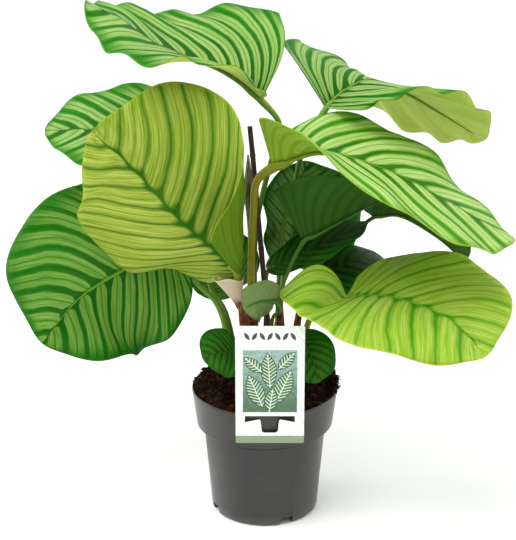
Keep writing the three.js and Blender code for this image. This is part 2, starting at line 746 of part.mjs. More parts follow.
function rolledLeafPath() {
  const curve = new THREE.CatmullRomCurve3(rolledLeafAxis.map(vector), false, 'catmullrom', 0.5);
  const last = rolledLeafAxis.length - 1;
  const count = 2 * last;
  const centres = [];
  const radii = [];
  for (let i = 0; i <= count; i += 1) {
    centres.push(curve.getPoint(i / count));
    radii.push(along(rolledLeafRadii, i / count));
  }
  return { centres, radii };
}

// The rolled leaf's section is a spiral with a step where its outer margin laps over
function rolledLeafGeometry() {
  const { centres, radii } = rolledLeafPath();
  const sides = rolledLeafSides;
  const geometry = rodThrough(centres, radii, sides);
  const position = geometry.attributes.position;
  for (let i = 0; i < centres.length; i += 1) {
    const turn = i * rolledLeafTwist;
    for (let j = 0; j < sides; j += 1) {
      const k = i * sides + j;
      const share = (j / sides + turn / (2 * Math.PI)) % 1;
      const scale = 1 - rolledLeafLap * share;
      const point = new THREE.Vector3().fromBufferAttribute(position, k);
      point.sub(centres[i]).multiplyScalar(scale).add(centres[i]);
      position.setXYZ(k, point.x, point.y, point.z);
    }
  }
  return geometry;
}

function soilSolid() {
  let soil = solidFrom(soilGeometry());
  for (const leaf of leaves) {
    const { centres, radii } = stemOf(leaf);
    soil = soil.subtract(holeSolid(centres, radii, stemSides));
  }
  const rolled = rolledLeafPath();
  soil = soil.subtract(holeSolid(rolled.centres, rolled.radii, rolledLeafSides));
  const cane = caneCentres();
  soil = soil.subtract(holeSolid(cane, cane.map(() => caneRadius), caneSides));
  const roomHeight = flapDrop + tongueRoom.above;
  const roomPlace = [cardCentreX, -rimRadius + roomInset, flapTop - flapDrop - 1 + roomHeight / 2];
  soil = soil.subtract(boxSolid(tongueWidth + tongueRoom.side, tongueRoom.depth, roomHeight, roomPlace));
  const barPlace = [cardCentreX, -rimRadius + roomInset, flapTop + barRoom.lift];
  return soil.subtract(boxSolid(flapWidth + barRoom.side, barRoom.depth, barRoom.height, barPlace));
}

// T-shaped opening that the flap leaves in the card, drawn from the flap's fold line downwards
function flapOutline(top) {
  const half = flapWidth / 2;
  const tongue = tongueWidth / 2;
  const tip = tongue - tongueTaper;
  const foot = top - tongueLength;
  const outline = new THREE.Shape();
  outline.moveTo(-half, top);
  outline.lineTo(-half, top - flapBarHeight);
  outline.lineTo(-tongue - tongueTaper, top - flapShoulderHeight);
  outline.lineTo(-tongue, top - flapShoulderHeight - tongueTaper);
  outline.lineTo(-tip, foot + tongueCorner);
  outline.quadraticCurveTo(-tip, foot, -tip + tongueCorner, foot);
  outline.lineTo(tip - tongueCorner, foot);
  outline.quadraticCurveTo(tip, foot, tip, foot + tongueCorner);
  outline.lineTo(tongue, top - flapShoulderHeight - tongueTaper);
  outline.lineTo(tongue + tongueTaper, top - flapShoulderHeight);
  outline.lineTo(half, top - flapBarHeight);
  outline.lineTo(half, top);
  outline.closePath();
  return outline;
}

// The card, its T-shaped flap folded back over the rim, and the flap's tongue down inside the pot
function cardSolid() {
  const half = cardWidth / 2;
  const r = cardCornerRadius;
  const face = new THREE.Shape();
  face.moveTo(-half + r, cardBottom);
  face.lineTo(half - r, cardBottom);
  face.lineTo(half, cardBottom + r);
  face.lineTo(half, cardTop - r);
  face.lineTo(half - r, cardTop);
  face.lineTo(-half + r, cardTop);
  face.lineTo(-half, cardTop - r);
  face.lineTo(-half, cardBottom + r);
  face.closePath();
  face.holes.push(flapOutline(flapTop));
  const card = new THREE.ExtrudeGeometry(face, {
    depth: cardThickness,
    bevelEnabled: false,
    curveSegments: 3,
  });
  card.rotateX(Math.PI / 2);
  const front = -rimRadius - gap - cardThickness;
  card.translate(cardCentreX, front + cardThickness, 0);
  const bar = new THREE.Shape();
  bar.moveTo(-flapWidth / 2, 0);
  bar.lineTo(flapWidth / 2, 0);
  bar.lineTo(flapWidth / 2, flapBarHeight);
  bar.lineTo(tongueWidth / 2 + tongueTaper, flapShoulderHeight);
  bar.lineTo(-tongueWidth / 2 - tongueTaper, flapShoulderHeight);
  bar.lineTo(-flapWidth / 2, flapBarHeight);
  bar.closePath();
  const fold = new THREE.ExtrudeGeometry(bar, { depth: flapThickness, bevelEnabled: false });
  fold.translate(cardCentreX, front + 0.1, flapTop);
  const insideTop = -insideRadius(potHeight) + 1.4;
  const insideFoot = -insideRadius(potHeight - flapDrop) + 1.4;
  const strip = new THREE.Shape();
  strip.moveTo(front + 2, flapTop);
  strip.lineTo(insideTop, flapTop);
  strip.lineTo(insideFoot, flapTop - flapDrop);
  strip.lineTo(insideFoot + flapThickness, flapTop - flapDrop);
  strip.lineTo(insideTop + flapThickness, flapTop + flapThickness);
  strip.lineTo(front + 2, flapTop + flapThickness);
  strip.closePath();
  const tongue = new THREE.ExtrudeGeometry(strip, {
    depth: tongueWidth - 2 * tongueTaper,
    bevelEnabled: false,
  });
  tongue.rotateX(Math.PI / 2);
  tongue.rotateZ(Math.PI / 2);
  tongue.translate(cardCentreX - tongueWidth / 2 + tongueTaper, 0, 0);
  return solidFrom(card).add(solidFrom(fold)).add(solidFrom(tongue));
}

function meshOf(name, geometry, colour, roughness) {
  const material = new THREE.MeshStandardMaterial({ color: colour, roughness, metalness: 0 });
  const mesh = new THREE.Mesh(geometry, material);
  mesh.name = name;
  return mesh;
}

const group = new THREE.Group();
group.add(meshOf('pot', geometryOf(potSolid()), potColour, 0.5));
group.add(meshOf('soil', geometryOf(soilSolid()), soilColour, 0.95));
group.add(meshOf('plant_label', geometryOf(cardSolid()), cardColour, 0.4));
const caneRod = rodThrough(caneCentres(), caneRings.map(() => caneRadius), caneSides);
group.add(meshOf('support_cane', caneRod, caneColour, 0.7));
group.add(meshOf('rolled_leaf', rolledLeafGeometry(), rolledLeafColour, 0.5));
for (const leaf of leaves) {
  group.add(meshOf(leaf.name, geometryOf(leafSolid(leaf)), leaf.colour, 0.45));
}

export default group;
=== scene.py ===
import math
import random
from bisect import bisect_right

import bpy
from mathutils import Matrix, Vector, noise


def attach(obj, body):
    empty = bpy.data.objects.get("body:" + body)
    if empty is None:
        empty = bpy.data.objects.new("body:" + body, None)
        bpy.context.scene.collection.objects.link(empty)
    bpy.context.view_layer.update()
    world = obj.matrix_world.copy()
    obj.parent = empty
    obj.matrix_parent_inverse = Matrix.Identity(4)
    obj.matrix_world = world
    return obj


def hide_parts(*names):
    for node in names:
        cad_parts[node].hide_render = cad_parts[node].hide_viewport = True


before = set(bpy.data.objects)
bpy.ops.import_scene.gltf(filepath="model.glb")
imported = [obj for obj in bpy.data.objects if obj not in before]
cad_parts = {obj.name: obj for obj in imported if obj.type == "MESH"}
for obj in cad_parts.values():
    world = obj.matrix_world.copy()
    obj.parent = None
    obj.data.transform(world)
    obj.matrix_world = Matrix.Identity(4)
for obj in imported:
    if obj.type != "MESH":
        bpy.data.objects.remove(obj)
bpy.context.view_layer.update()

bpy.ops.object.select_all(action="DESELECT")
mm = 0.001
print("frame loaded:", len(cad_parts), "nodes")


class Wire:
    # a socket that sums can be done with
    def __init__(self, look, socket):
        self.look = look
        self.socket = socket

    def reckon(self, operation, *terms):
        return self.look.add("ShaderNodeMath", {"operation": operation}, dict(enumerate(terms)))

    def __add__(self, other):
        return self.reckon("ADD", self, other)

    def __sub__(self, other):
        return self.reckon("SUBTRACT", self, other)

    def __rsub__(self, other):
        return self.reckon("SUBTRACT", other, self)

    def __mul__(self, other):
        return self.reckon("MULTIPLY", self, other)

    def __abs__(self):
        return self.reckon("ABSOLUTE", self)

    def __gt__(self, other):
        return self.reckon("GREATER_THAN", self, other)

    def __lt__(self, other):
        return self.reckon("LESS_THAN", self, other)

    __radd__ = __add__
    __rmul__ = __mul__


class Look:
    # one material: its nodes are added by add, and sums on them are written as Python
    def __init__(self, name):
        self.material = bpy.data.materials.new(name)
        self.material.use_nodes = True
        self.tree = self.material.node_tree
        self.tree.nodes.clear()
        self.shader = self.tree.nodes.new("ShaderNodeBsdfPrincipled")
        output = self.tree.nodes.new("ShaderNodeOutputMaterial")
        self.tree.links.new(self.shader.outputs[0], output.inputs[0])

    def feed(self, socket, term):
        if isinstance(term, Wire):
            self.tree.links.new(term.socket, socket)
        elif hasattr(term, "__len__") and len(socket.default_value) == 4:
            socket.default_value = (*term[:3], 1.0)
        else:
            socket.default_value = term

    def add(self, kind, settings, inputs, output=0):
        node = self.tree.nodes.new(kind)
        for name, value in settings.items():
            setattr(node, name, value)
        for name, term in inputs.items():
            self.feed(node.inputs[name], term)
        return Wire(self, node.outputs[output])

    def where(self):
        return self.add("ShaderNodeTexCoord", {}, {}, "Object")

    def laid(self):
        # across and along, 0 to 1, as the piece's grid is laid
        return self.split(self.add("ShaderNodeUVMap", {"uv_map": "UVMap"}, {}))[:2]

    def split(self, vector):
        node = self.tree.nodes.new("ShaderNodeSeparateXYZ")
        self.feed(node.inputs[0], vector)
        return [Wire(self, socket) for socket in node.outputs]

    def join(self, x, y, z=0.0):
        return self.add("ShaderNodeCombineXYZ", {}, {0: x, 1: y, 2: z})

    def mix(self, share, first, second):
        return self.add("ShaderNodeMix", {"data_type": "RGBA"}, {0: share, 6: first, 7: second}, 2)

    def soft(self, value, low, high):
        # rises smoothly from 0 at low to 1 at high
        return self.add("ShaderNodeMapRange", {"interpolation_type": "SMOOTHSTEP"},
                        {"Value": value, "From Min": low, "From Max": high})

    def apart(self, beat):
        # 0 half way through each beat, 1 where one ends and the next begins
        return abs(self.add("ShaderNodeMath", {"operation": "FRACT"}, {0: beat}) - 0.5) * 2

    def stain(self, colour, where, tone, low, high, share=1):
        # lays a tone over the colour, from none where the value is low to its share where it is high
        return self.mix(self.soft(where, low, high) * share, colour, tone)

    def grain(self, vector, scale, detail=3.0, roughness=0.5):
        return self.add("ShaderNodeTexNoise", {},
                        {"Vector": vector, "Scale": scale, "Detail": detail, "Roughness": roughness})

    def relief(self, height, strength, distance):
        return self.add("ShaderNodeBump", {},
                        {"Height": height, "Strength": strength, "Distance": distance})

    def finish(self, colour, roughness, gloss, normal=None, glossTint=None):
        wanted = {"Base Color": colour, "Roughness": roughness, "Specular IOR Level": gloss,
                  "Normal": normal, "Specular Tint": glossTint}
        for name, term in wanted.items():
            if term is not None:
                self.feed(self.shader.inputs[name], term)
        return self.material


class Settings:
    # named values
    def __init__(self, **values):
        vars(self).update(values)


def tint(red, green, blue):
    # screen colour, 0 to 255, as the linear values that shaders take
    parts = [c / 255 for c in (red, green, blue)]
    return [c / 12.92 if c < 0.04045 else ((c + 0.055) / 1.055) ** 2.4 for c in parts]


# what all blades have in common; what differs from leaf to leaf is in tones. A marking's pair is where
# it starts to show and where it is whole, a third value its share, and a tone before them its colour.
stripes = Settings(
    shift=0.4,                                            # the right half's bands start this much later
    drift=0.34, driftScale=26,                            # how far and how often the bands wander
    fibres=9, fibreReach=1.4, fibreEdge=(0.3, 0.7),
    streaks=3.4, streakReach=1.5, uneven=0.26,
    bandStart=(-0.10, 0.16), endVary=0.10, endBlur=0.26, widthVary=0.3, widthLeast=0.85,
    lineFull=0.03, vein=(0.8, 1.0), threads=8, threadEdge=(0.5, 0.95),
    greenEdge=(0.15, 1.0), greenStreak=0.4, veinDark=0.7, threadShade=0.26,
    besideRib=(0.05, 0.012), rib=(0.016, 0.007), margin=(0.975, 1.0, 0.7),
    blotchScale=60, blotch=(0.45, 0.8, 0.05),
)
bladeSkin = Settings(
    rough=0.44, fibreRough=0.12, blotchRough=0.10, underRough=0.14,
    fibreHigh=0.5, veinHigh=-0.6, middleHigh=-0.3, threadHigh=-0.15, poreHigh=0.25,
    poreScale=900, relief=0.35, depth=0.0006,
    gloss=0.15, underGloss=0.1, glossTint=(0.8, 1.0, 0.34, 1.0),
)
sheathSkin = Settings(
    dark=tint(44, 18, 12), brown=tint(140, 62, 34), brownEdge=(0.25, 0.75), lumpScale=55,
    papery=(tint(166, 130, 96), 0.58, 0.72, 0.5), uneven=0.050, fadeOver=0.024,
    ribEdge=(0.45, 0.62, 0.6), rough=0.42, dryRough=0.25, fleckRough=0.1, gloss=0.25,
)


def bladeLook(name, tone, under):
    look = Look(name)
    across, along = look.laid()
    place = look.where()
    out = abs(across * 2 - 1)                            # 0 on the midrib, 1 on the margin
    side = across > 0.5                                  # 0 on the left half, 1 on the right
    drift = look.grain(place, stripes.driftScale, 2) - 0.5
    beat = along * tone["bands"] + side * stripes.shift + drift * stripes.drift
    number = look.add("ShaderNodeMath", {"operation": "FLOOR"}, {0: beat})
    vary = look.add("ShaderNodeTexWhiteNoise", {"noise_dimensions": "1D"}, {"W": number + side * 31})
    away = look.apart(beat)                              # 0 in a band's middle, 1 on a side vein
    # fine veins run out from the midrib, side by side
    fibre = look.join(along * tone["bands"] * stripes.fibres, out * stripes.fibreReach, side * 5)
    fibre = look.soft(look.grain(fibre, 1.0, 4, 0.62), *stripes.fibreEdge)
    streak = look.join(along * tone["bands"] * stripes.streaks, out * stripes.streakReach, side * 9)
    streak = look.grain(streak, 1.0, 2)
    uneven = (streak - 0.5) * stripes.uneven
    # pale bands between the side veins, with a thin line along their middle
    reach = look.soft(out + (vary - 0.5) * stripes.endVary + uneven,
                      tone["fade"], tone["fade"] - stripes.endBlur)
    width = vary * stripes.widthVary + stripes.widthLeast
    width = look.soft(out, *stripes.bandStart) * width * tone["paleWidth"]
    pale = look.soft(width - away + uneven, -tone["soft"], tone["soft"]) * reach
    middle = look.soft(away, tone["lineWidth"], stripes.lineFull) * (fibre * 0.5 + 0.6)
    vein = look.soft(away, *stripes.vein)
    thread = look.soft(look.apart(beat * stripes.threads), *stripes.threadEdge)
    green = look.soft(out + streak * stripes.greenStreak, *stripes.greenEdge)
    green = look.mix(green, tone["dark"], tone["green"])
    green = look.mix(vein * stripes.veinDark, green, tone["dark"])
    green = look.mix(thread * fibre * tone["threads"], green, tone["pale"])
    light = look.mix(fibre, tone["pale"], tone["palest"])
    light = look.mix(thread * stripes.threadShade, light, tone["green"])
    light = look.mix(middle * tone["lineShade"], light, tone["green"])
    colour = look.mix(pale * tone["contrast"], green, light)
    colour = look.mix(vein * tone["veinShade"], colour, tone["dark"])
    # painted shade: the right half of the blade is darkened towards the dark green
    colour = look.mix(side * tone["rightPaintedShade"], colour, tone["dark"])
    colour = look.stain(colour, out, tone["dark"], *stripes.besideRib, tone["ribShade"])
    colour = look.stain(colour, out, tone["rib"], *stripes.rib)
    colour = look.stain(colour, out, tone["edge"], *stripes.margin)
    blotch = look.grain(place, stripes.blotchScale, 4)
    colour = look.stain(colour, blotch, tone["palest"], *stripes.blotch)
    if under:
        colour = look.mix(tone["dull"], colour, tone["underside"])
    height = fibre * bladeSkin.fibreHigh + vein * bladeSkin.veinHigh + middle * bladeSkin.middleHigh
    height += thread * bladeSkin.threadHigh
    height += look.grain(place, bladeSkin.poreScale, 2) * bladeSkin.poreHigh
    rough = bladeSkin.rough + (bladeSkin.underRough if under else 0.0)
    rough = rough + fibre * bladeSkin.fibreRough + blotch * bladeSkin.blotchRough
    gloss = bladeSkin.underGloss if under else bladeSkin.gloss
    return look.finish(colour, rough, gloss, look.relief(height, bladeSkin.relief, bladeSkin.depth),
                       bladeSkin.glossTint)


def stemLook(name, tone):
    look = Look(name)
    around, along = look.laid()
    place = look.where()
    height = look.split(place)[2]
    fleck = look.grain(look.join(around * 9, height * 160), 1.0, 4, 0.6)
    lumps = look.grain(place, sheathSkin.lumpScale, 3)
    green = look.mix(fleck, tone["stem"], tone["stemPale"])
    # the sheath at the foot is papery and brown, and fades upwards
    sheath = look.soft(fleck + lumps - 0.5, *sheathSkin.brownEdge)
    sheath = look.mix(sheath, sheathSkin.dark, sheathSkin.brown)
    sheath = look.stain(sheath, lumps, *sheathSkin.papery)
    dry = look.soft(height + (lumps - 0.5) * sheathSkin.uneven,
                    tone["dryTop"], tone["dryTop"] - sheathSkin.fadeOver)
    colour = look.mix(dry, green, sheath)
    colour = look.stain(colour, along, tone["rib"], *sheathSkin.ribEdge)
    ridges = look.grain(look.join(around * 24, height * 30), 1.0, 2)
    rough = sheathSkin.rough + dry * sheathSkin.dryRough + fleck * sheathSkin.fleckRough
    return look.finish(colour, rough, sheathSkin.gloss, look.relief(ridges + fleck * 0.4, 0.4, 0.0006))


# fade is how far out the pale bands reach, soft how blurred they are, lineWidth and lineShade the thin
# line along their middle, dull how much of the underside's colour covers them (the mid underside is
# also brightened as painted light through the blade), the right shade how much painted shade darkens
# the right half, and dryTop the height where the sheath turns green (metres)
usualTone = dict(
    lineWidth=0.16, lineShade=0.8, contrast=0.92, ribShade=0.6, soft=0.1, veinShade=0.0, rightPaintedShade=0.0,
    dull=0.85, dryTop=0.160, stem=tint(72, 116, 24), stemPale=tint(112, 148, 50))
tones = {
    "mid": dict(bands=11.5, paleWidth=0.64, contrast=0.95, fade=1.04, threads=0.14,
                dark=tint(5, 78, 2), green=tint(24, 112, 10), pale=tint(116, 156, 66),
                palest=tint(160, 184, 110), rib=tint(110, 152, 46), edge=tint(84, 144, 30),
                # the mid underside is the blade's own paler green, brightened as painted light shining
                # through the blade
                underside=tint(186, 206, 94)),
    # painted shade: the mid leaves' greens darkened for the leaves that sit low and behind; the closer, wider
    # bands are their own
    "shade": dict(bands=13, paleWidth=0.7, fade=1.03, threads=0.12, dull=0.6,
                  dark=tint(1, 70, 1), green=tint(2, 92, 2), pale=tint(70, 118, 32),
                  palest=tint(112, 148, 66), rib=tint(80, 128, 32), edge=tint(60, 120, 20),
                  underside=tint(96, 134, 46)),
    "fresh": dict(bands=11.5, paleWidth=0.62, lineShade=0.6, contrast=0.88, soft=0.2, fade=1.1,
                  veinShade=0.1, threads=0.2, dull=0.75, dryTop=0.222,
                  dark=tint(18, 94, 2), green=tint(64, 138, 4), pale=tint(146, 182, 78),
                  palest=tint(196, 212, 142), rib=tint(104, 156, 18), edge=tint(156, 188, 46),
                  underside=tint(150, 186, 46), stem=tint(124, 118, 14), stemPale=tint(160, 148, 38)),
    "light": dict(bands=10.5, paleWidth=0.86, lineWidth=0.2, lineShade=0.4, contrast=0.72, ribShade=0.4,
                  soft=0.34, fade=1.45, veinShade=0.2, threads=0.3, dull=0.6,
                  dark=tint(42, 118, 0), green=tint(84, 146, 1), pale=tint(138, 172, 26),
                  palest=tint(190, 206, 98), rib=tint(96, 156, 6), edge=tint(178, 196, 60),
                  underside=tint(140, 180, 30), stem=tint(104, 128, 20), stemPale=tint(140, 156, 46)),
    "young": dict(bands=13.5, paleWidth=0.84, lineWidth=0.2, lineShade=0.35, ribShade=0.5,
                  soft=0.36, fade=1.45, veinShade=0.34, rightPaintedShade=0.24, threads=0.25, dryTop=0.232,
                  dark=tint(26, 84, 0), green=tint(62, 114, 1), pale=tint(116, 144, 14),
                  palest=tint(182, 192, 90), rib=tint(24, 90, 2), edge=tint(140, 162, 18),
                  underside=tint(76, 110, 14), stem=tint(112, 132, 28), stemPale=tint(148, 162, 62)),
    "deep": dict(bands=9.5, paleWidth=0.5, lineWidth=0.18, lineShade=0.6, contrast=0.4, ribShade=0.5,
                 soft=0.26, fade=1.0, veinShade=0.2, threads=0.15, dull=0.5, dryTop=0.222,
                 dark=tint(1, 50, 1), green=tint(3, 76, 2), pale=tint(46, 98, 20),
                 palest=tint(84, 126, 48), rib=tint(40, 98, 14), edge=tint(34, 88, 14),
                 underside=tint(66, 96, 42), stem=tint(54, 92, 20), stemPale=tint(88, 120, 38)),
}
tones["dusty"] = dict(tones["deep"], underside=tint(122, 142, 84), dull=0.68)
tones = {name: {**usualTone, **tone} for name, tone in tones.items()}
leafLooks = {}
for toneName, tone in tones.items():
    leafLooks[toneName] = [
        bladeLook(toneName + "LeafUpper", tone, False),
        bladeLook(toneName + "LeafUnder", tone, True),
        stemLook(toneName + "LeafStem", tone),
    ]

huskSkin = Settings(
    shade=tint(186, 160, 132), light=tint(216, 202, 172), foot=(tint(124, 62, 40), 0.45, 0.1),
    green=(tint(120, 130, 92), 0.55, 0.95, 0.5), rough=0.6, gloss=0.3,
)
look = Look("paleHusk")
across, along = look.laid()
lines = look.grain(look.join(across * 30, along * 2.5), 1.0, 4, 0.6)
colour = look.mix(lines, huskSkin.shade, huskSkin.light)
colour = look.stain(colour, along, *huskSkin.foot)
colour = look.stain(colour, across, *huskSkin.green)
huskLook = look.finish(colour, huskSkin.rough, huskSkin.gloss, look.relief(lines, 0.5, 0.0005))
print("leaf finishes made")


# how closely curves are followed, and points that are merged (metres)
curve = Settings(pathSteps=240, ribStops=320, nudge=1e-3, mergeWithin=0.000002, grooveWidth=0.09)


def between(knots, t):
    # smooth value between evenly spaced knots
    last = len(knots) - 1
    if last == 0:
        return knots[0]
    place = min(max(t, 0.0), 1.0) * last
    i = min(int(place), last - 1)
    w = place - i
    p1, p2 = knots[i], knots[i + 1]
    p0 = knots[i - 1] if i > 0 else 2 * p1 - p2
    p3 = knots[i + 2] if i + 2 <= last else 2 * p2 - p1
    v0, v1 = (p2 - p0) / 2, (p3 - p1) / 2
    return ((2 * p1 - 2 * p2 + v0 + v1) * w + (-3 * p1 + 3 * p2 - 2 * v0 - v1)) * w * w + v0 * w + p1


class Path:
    # a smooth curve through points, asked by the distance along it
    def __init__(self, points):
        steps = curve.pathSteps
        self.knots = [Vector(p) for p in points]
        self.marks = [0.0]
        before = self.knots[0]
        for i in range(1, steps + 1):
            here = between(self.knots, i / steps)
            self.marks.append(self.marks[-1] + (here - before).length)
            before = here
        self.length = self.marks[-1]

    def at(self, distance):
        steps = len(self.marks) - 1
        i = min(max(bisect_right(self.marks, distance) - 1, 0), steps - 1)
        gone = (distance - self.marks[i]) / (self.marks[i + 1] - self.marks[i])
        t = min(max((i + gone) / steps, 0.0), 1.0)
        ahead, behind = min(t + curve.nudge, 1.0), max(t - curve.nudge, 0.0)
        tangent = (between(self.knots, ahead) - between(self.knots, behind)).normalized()
        return between(self.knots, t), tangent


class Midrib:
    # where a leaf's midrib is, and which way its upper side looks, at each distance from its base
    def __init__(self, leaf):
        path = Path(leaf["midrib"])
        faces = [Vector(f) for f in leaf["faces"]]
        self.length = path.length
        self.stops = curve.ribStops
        self.frames = []
        for i in range(self.stops + 1):
            share = i / self.stops
            place, tangent = path.at(share * self.length)
            across = tangent.cross(between(faces, share).normalized()).normalized()
            self.frames.append((place, tangent, across, across.cross(tangent)))

    def at(self, x):
        share = min(max(x / self.length, 0.0), 1.0) * self.stops
        i = min(int(share), self.stops - 1)
        w = share - i
        here = [a.lerp(b, w) for a, b in zip(self.frames[i], self.frames[i + 1])]
        here[0] = here[0] + here[1] * (x - share / self.stops * self.length)
        return here


def choose(*pieces):
    # selects these pieces alone, the first of them active
    bpy.ops.object.select_all(action="DESELECT")
    for piece in pieces:
        piece.select_set(True)
    bpy.context.view_layer.objects.active = pieces[0]


def editAll(piece):
    choose(piece)
    bpy.ops.object.mode_set(mode="EDIT")
    bpy.ops.mesh.select_all(action="SELECT")


def laidGrid(name, across, along, place, closed):
    # a grid primitive, each of its points then laid where place says
    bpy.ops.object.select_all(action="DESELECT")
    bpy.ops.mesh.primitive_grid_add(x_subdivisions=across, y_subdivisions=along, size=2)
    piece = bpy.context.object
    piece.name = name
    for point in piece.data.vertices:
        point.co = place((point.co.x + 1) / 2, (point.co.y + 1) / 2) * mm
    editAll(piece)
    bpy.ops.mesh.remove_doubles(threshold=curve.mergeWithin)
    if closed:
        bpy.ops.mesh.normals_make_consistent(inside=False)
    bpy.ops.object.mode_set(mode="OBJECT")
    bpy.ops.object.shade_smooth()
    return piece


def applied(piece, kind, **settings):
    # adds one modifier and applies it
    choose(piece)
    modifier = piece.modifiers.new(kind.title(), kind)
    for name, value in settings.items():
        setattr(modifier, name, value)
    bpy.ops.object.modifier_apply(modifier=modifier.name)


def laidTube(name, centres, radii, sides, groove=0.0):
    # a round tube through its centres, closed to a point at both ends
    rings = []
    side = Vector((1, 0, 0))
    last = len(centres) - 1
    for i, centre in enumerate(centres):
        heading = (centres[min(i + 1, last)] - centres[max(i - 1, 0)]).normalized()
        side = (side - heading * side.dot(heading)).normalized()
        rings.append((centre, side.copy(), heading.cross(side), radii[i] if 0 < i < last else 0.0))

    def place(u, v):
        centre, side, across, radius = rings[round(v * last)]
        angle = 2 * math.pi * u
        radius *= 1 - groove * math.exp(-((u - 0.5) / curve.grooveWidth) ** 2)
        return centre + (side * math.cos(angle) + across * math.sin(angle)) * radius

    return laidGrid(name, sides, last, place, True)


def joined(name, pieces):
    choose(*pieces)
    bpy.ops.object.join()
    pieces[0].name = name
    return pieces[0]


def stand(piece, node):
    # the piece rides on the part and stands for its CAD node
    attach(piece, "root")
    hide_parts(node)


# what a leaf and its half blades are like where they say nothing else: a half's margin starts to turn
# out at start, reaches back past the base by its lobe, and is this wide and full; its rise and curl are
# degrees from base to tip. A wave is its height (mm), how many there are, and where the first begins.
usualLeaf = {"sheath": 3.4, "faces": [(0, 0, 1)], "left": {}, "right": {}, "wave": (2, 3, 0.2)}
usualHalf = {"start": 0.3, "lobe": 0.06, "wide": 1, "full": 0.85, "rise": [0], "curl": [0]}
leafMake = Settings(
    thickness=0.6,
    grids=[(120, 28, 176), (60, 20, 112), (0, 14, 72)],   # wider than this: faces across, faces along
    tip=0.03, tipTurn=0.16,                               # the drawn-out tip's length and width
    crowding=2.2, straight=0.55,                          # of the side veins
    openFrom=70, openWhole=130,                           # where a rolled half opens
    humpLength=0.85, humpSteep=0.6, humpFade=0.9,
    rightWave=1.9,                                        # the right margin waves this much later
    pleat=0.7, pleatWidth=180, pleatFull=0.3, pleatFade=0.6, pleatMiddle=0.6,
    ruffle=0.5, ruffleScale=0.07,
)
stemMake = Settings(
    foot=112, sides=16, ringEvery=3.5, groove=0.12,
    thinnest=1.6, thickest=2.7, widthPerRadius=60, sheathFull=70, sheathFade=35,
    reach=10, widthPerReach=9, kneeDrop=0.6, reachDrop=0.75,
    knuckle=0.28, knuckleLength=14,
    ribRingEvery=4, ribEnd=0.965, ribRadius=0.72, ribTip=0.3, ribTaper=0.8,
    ribStart=0.95, ribStartRings=3, ribSink=0.05,
)
huskMake = Settings(
    across=28, along=26, thickness=0.5, clear=0.8, spread=1.5, sidesIn=0.25,
    lip=1.4, lipWaves=4, sidesDown=1.5, leanRate=1.3,
)


def rolledOver(roll, x, y):
    # where a point lies, and which way the blade faces there (along, out, up), once the part past a
    # line through the base is rolled up and over the rest, as a cone with its point behind the base
    cone = math.radians(roll["cone"])
    apex = Matrix.Rotation(math.radians(roll["from"]), 3, "Z") @ Vector((-roll["behind"], 0, 0))
    reach = math.hypot(x - apex[0], y - apex[1])
    opened = (reach - leafMake.openFrom) / (leafMake.openWhole - leafMake.openFrom)
    opened = min(max(opened, 0.0), 1.0)
    start = math.radians(roll["from"] + roll["opens"] * opened * opened * (3 - 2 * opened))
    swing = Matrix.Rotation(start, 3, "Z")
    past = math.atan2(y - apex[1], x - apex[0]) - start
    if past <= 0:
        return Vector((x, y, 0)), Vector((0, 0, 1))
    turned = min(past / math.sin(cone), math.radians(roll["turn"]))
    flat = past - turned * math.sin(cone)
    axis = Vector((math.cos(cone), 0, math.sin(cone)))
    spoke = Vector((math.sin(cone), 0, -math.cos(cone)))
    out = Vector((0, 1, 0))
    spot = axis * math.cos(cone) + (spoke * math.cos(turned) + out * math.sin(turned)) * math.sin(cone)
    side = out * math.cos(turned) - spoke * math.sin(turned)
    facing = spot.cross(side)
    spot = (spot * math.cos(flat) + side * math.sin(flat)) * reach
    return swing @ spot + apex, swing @ facing


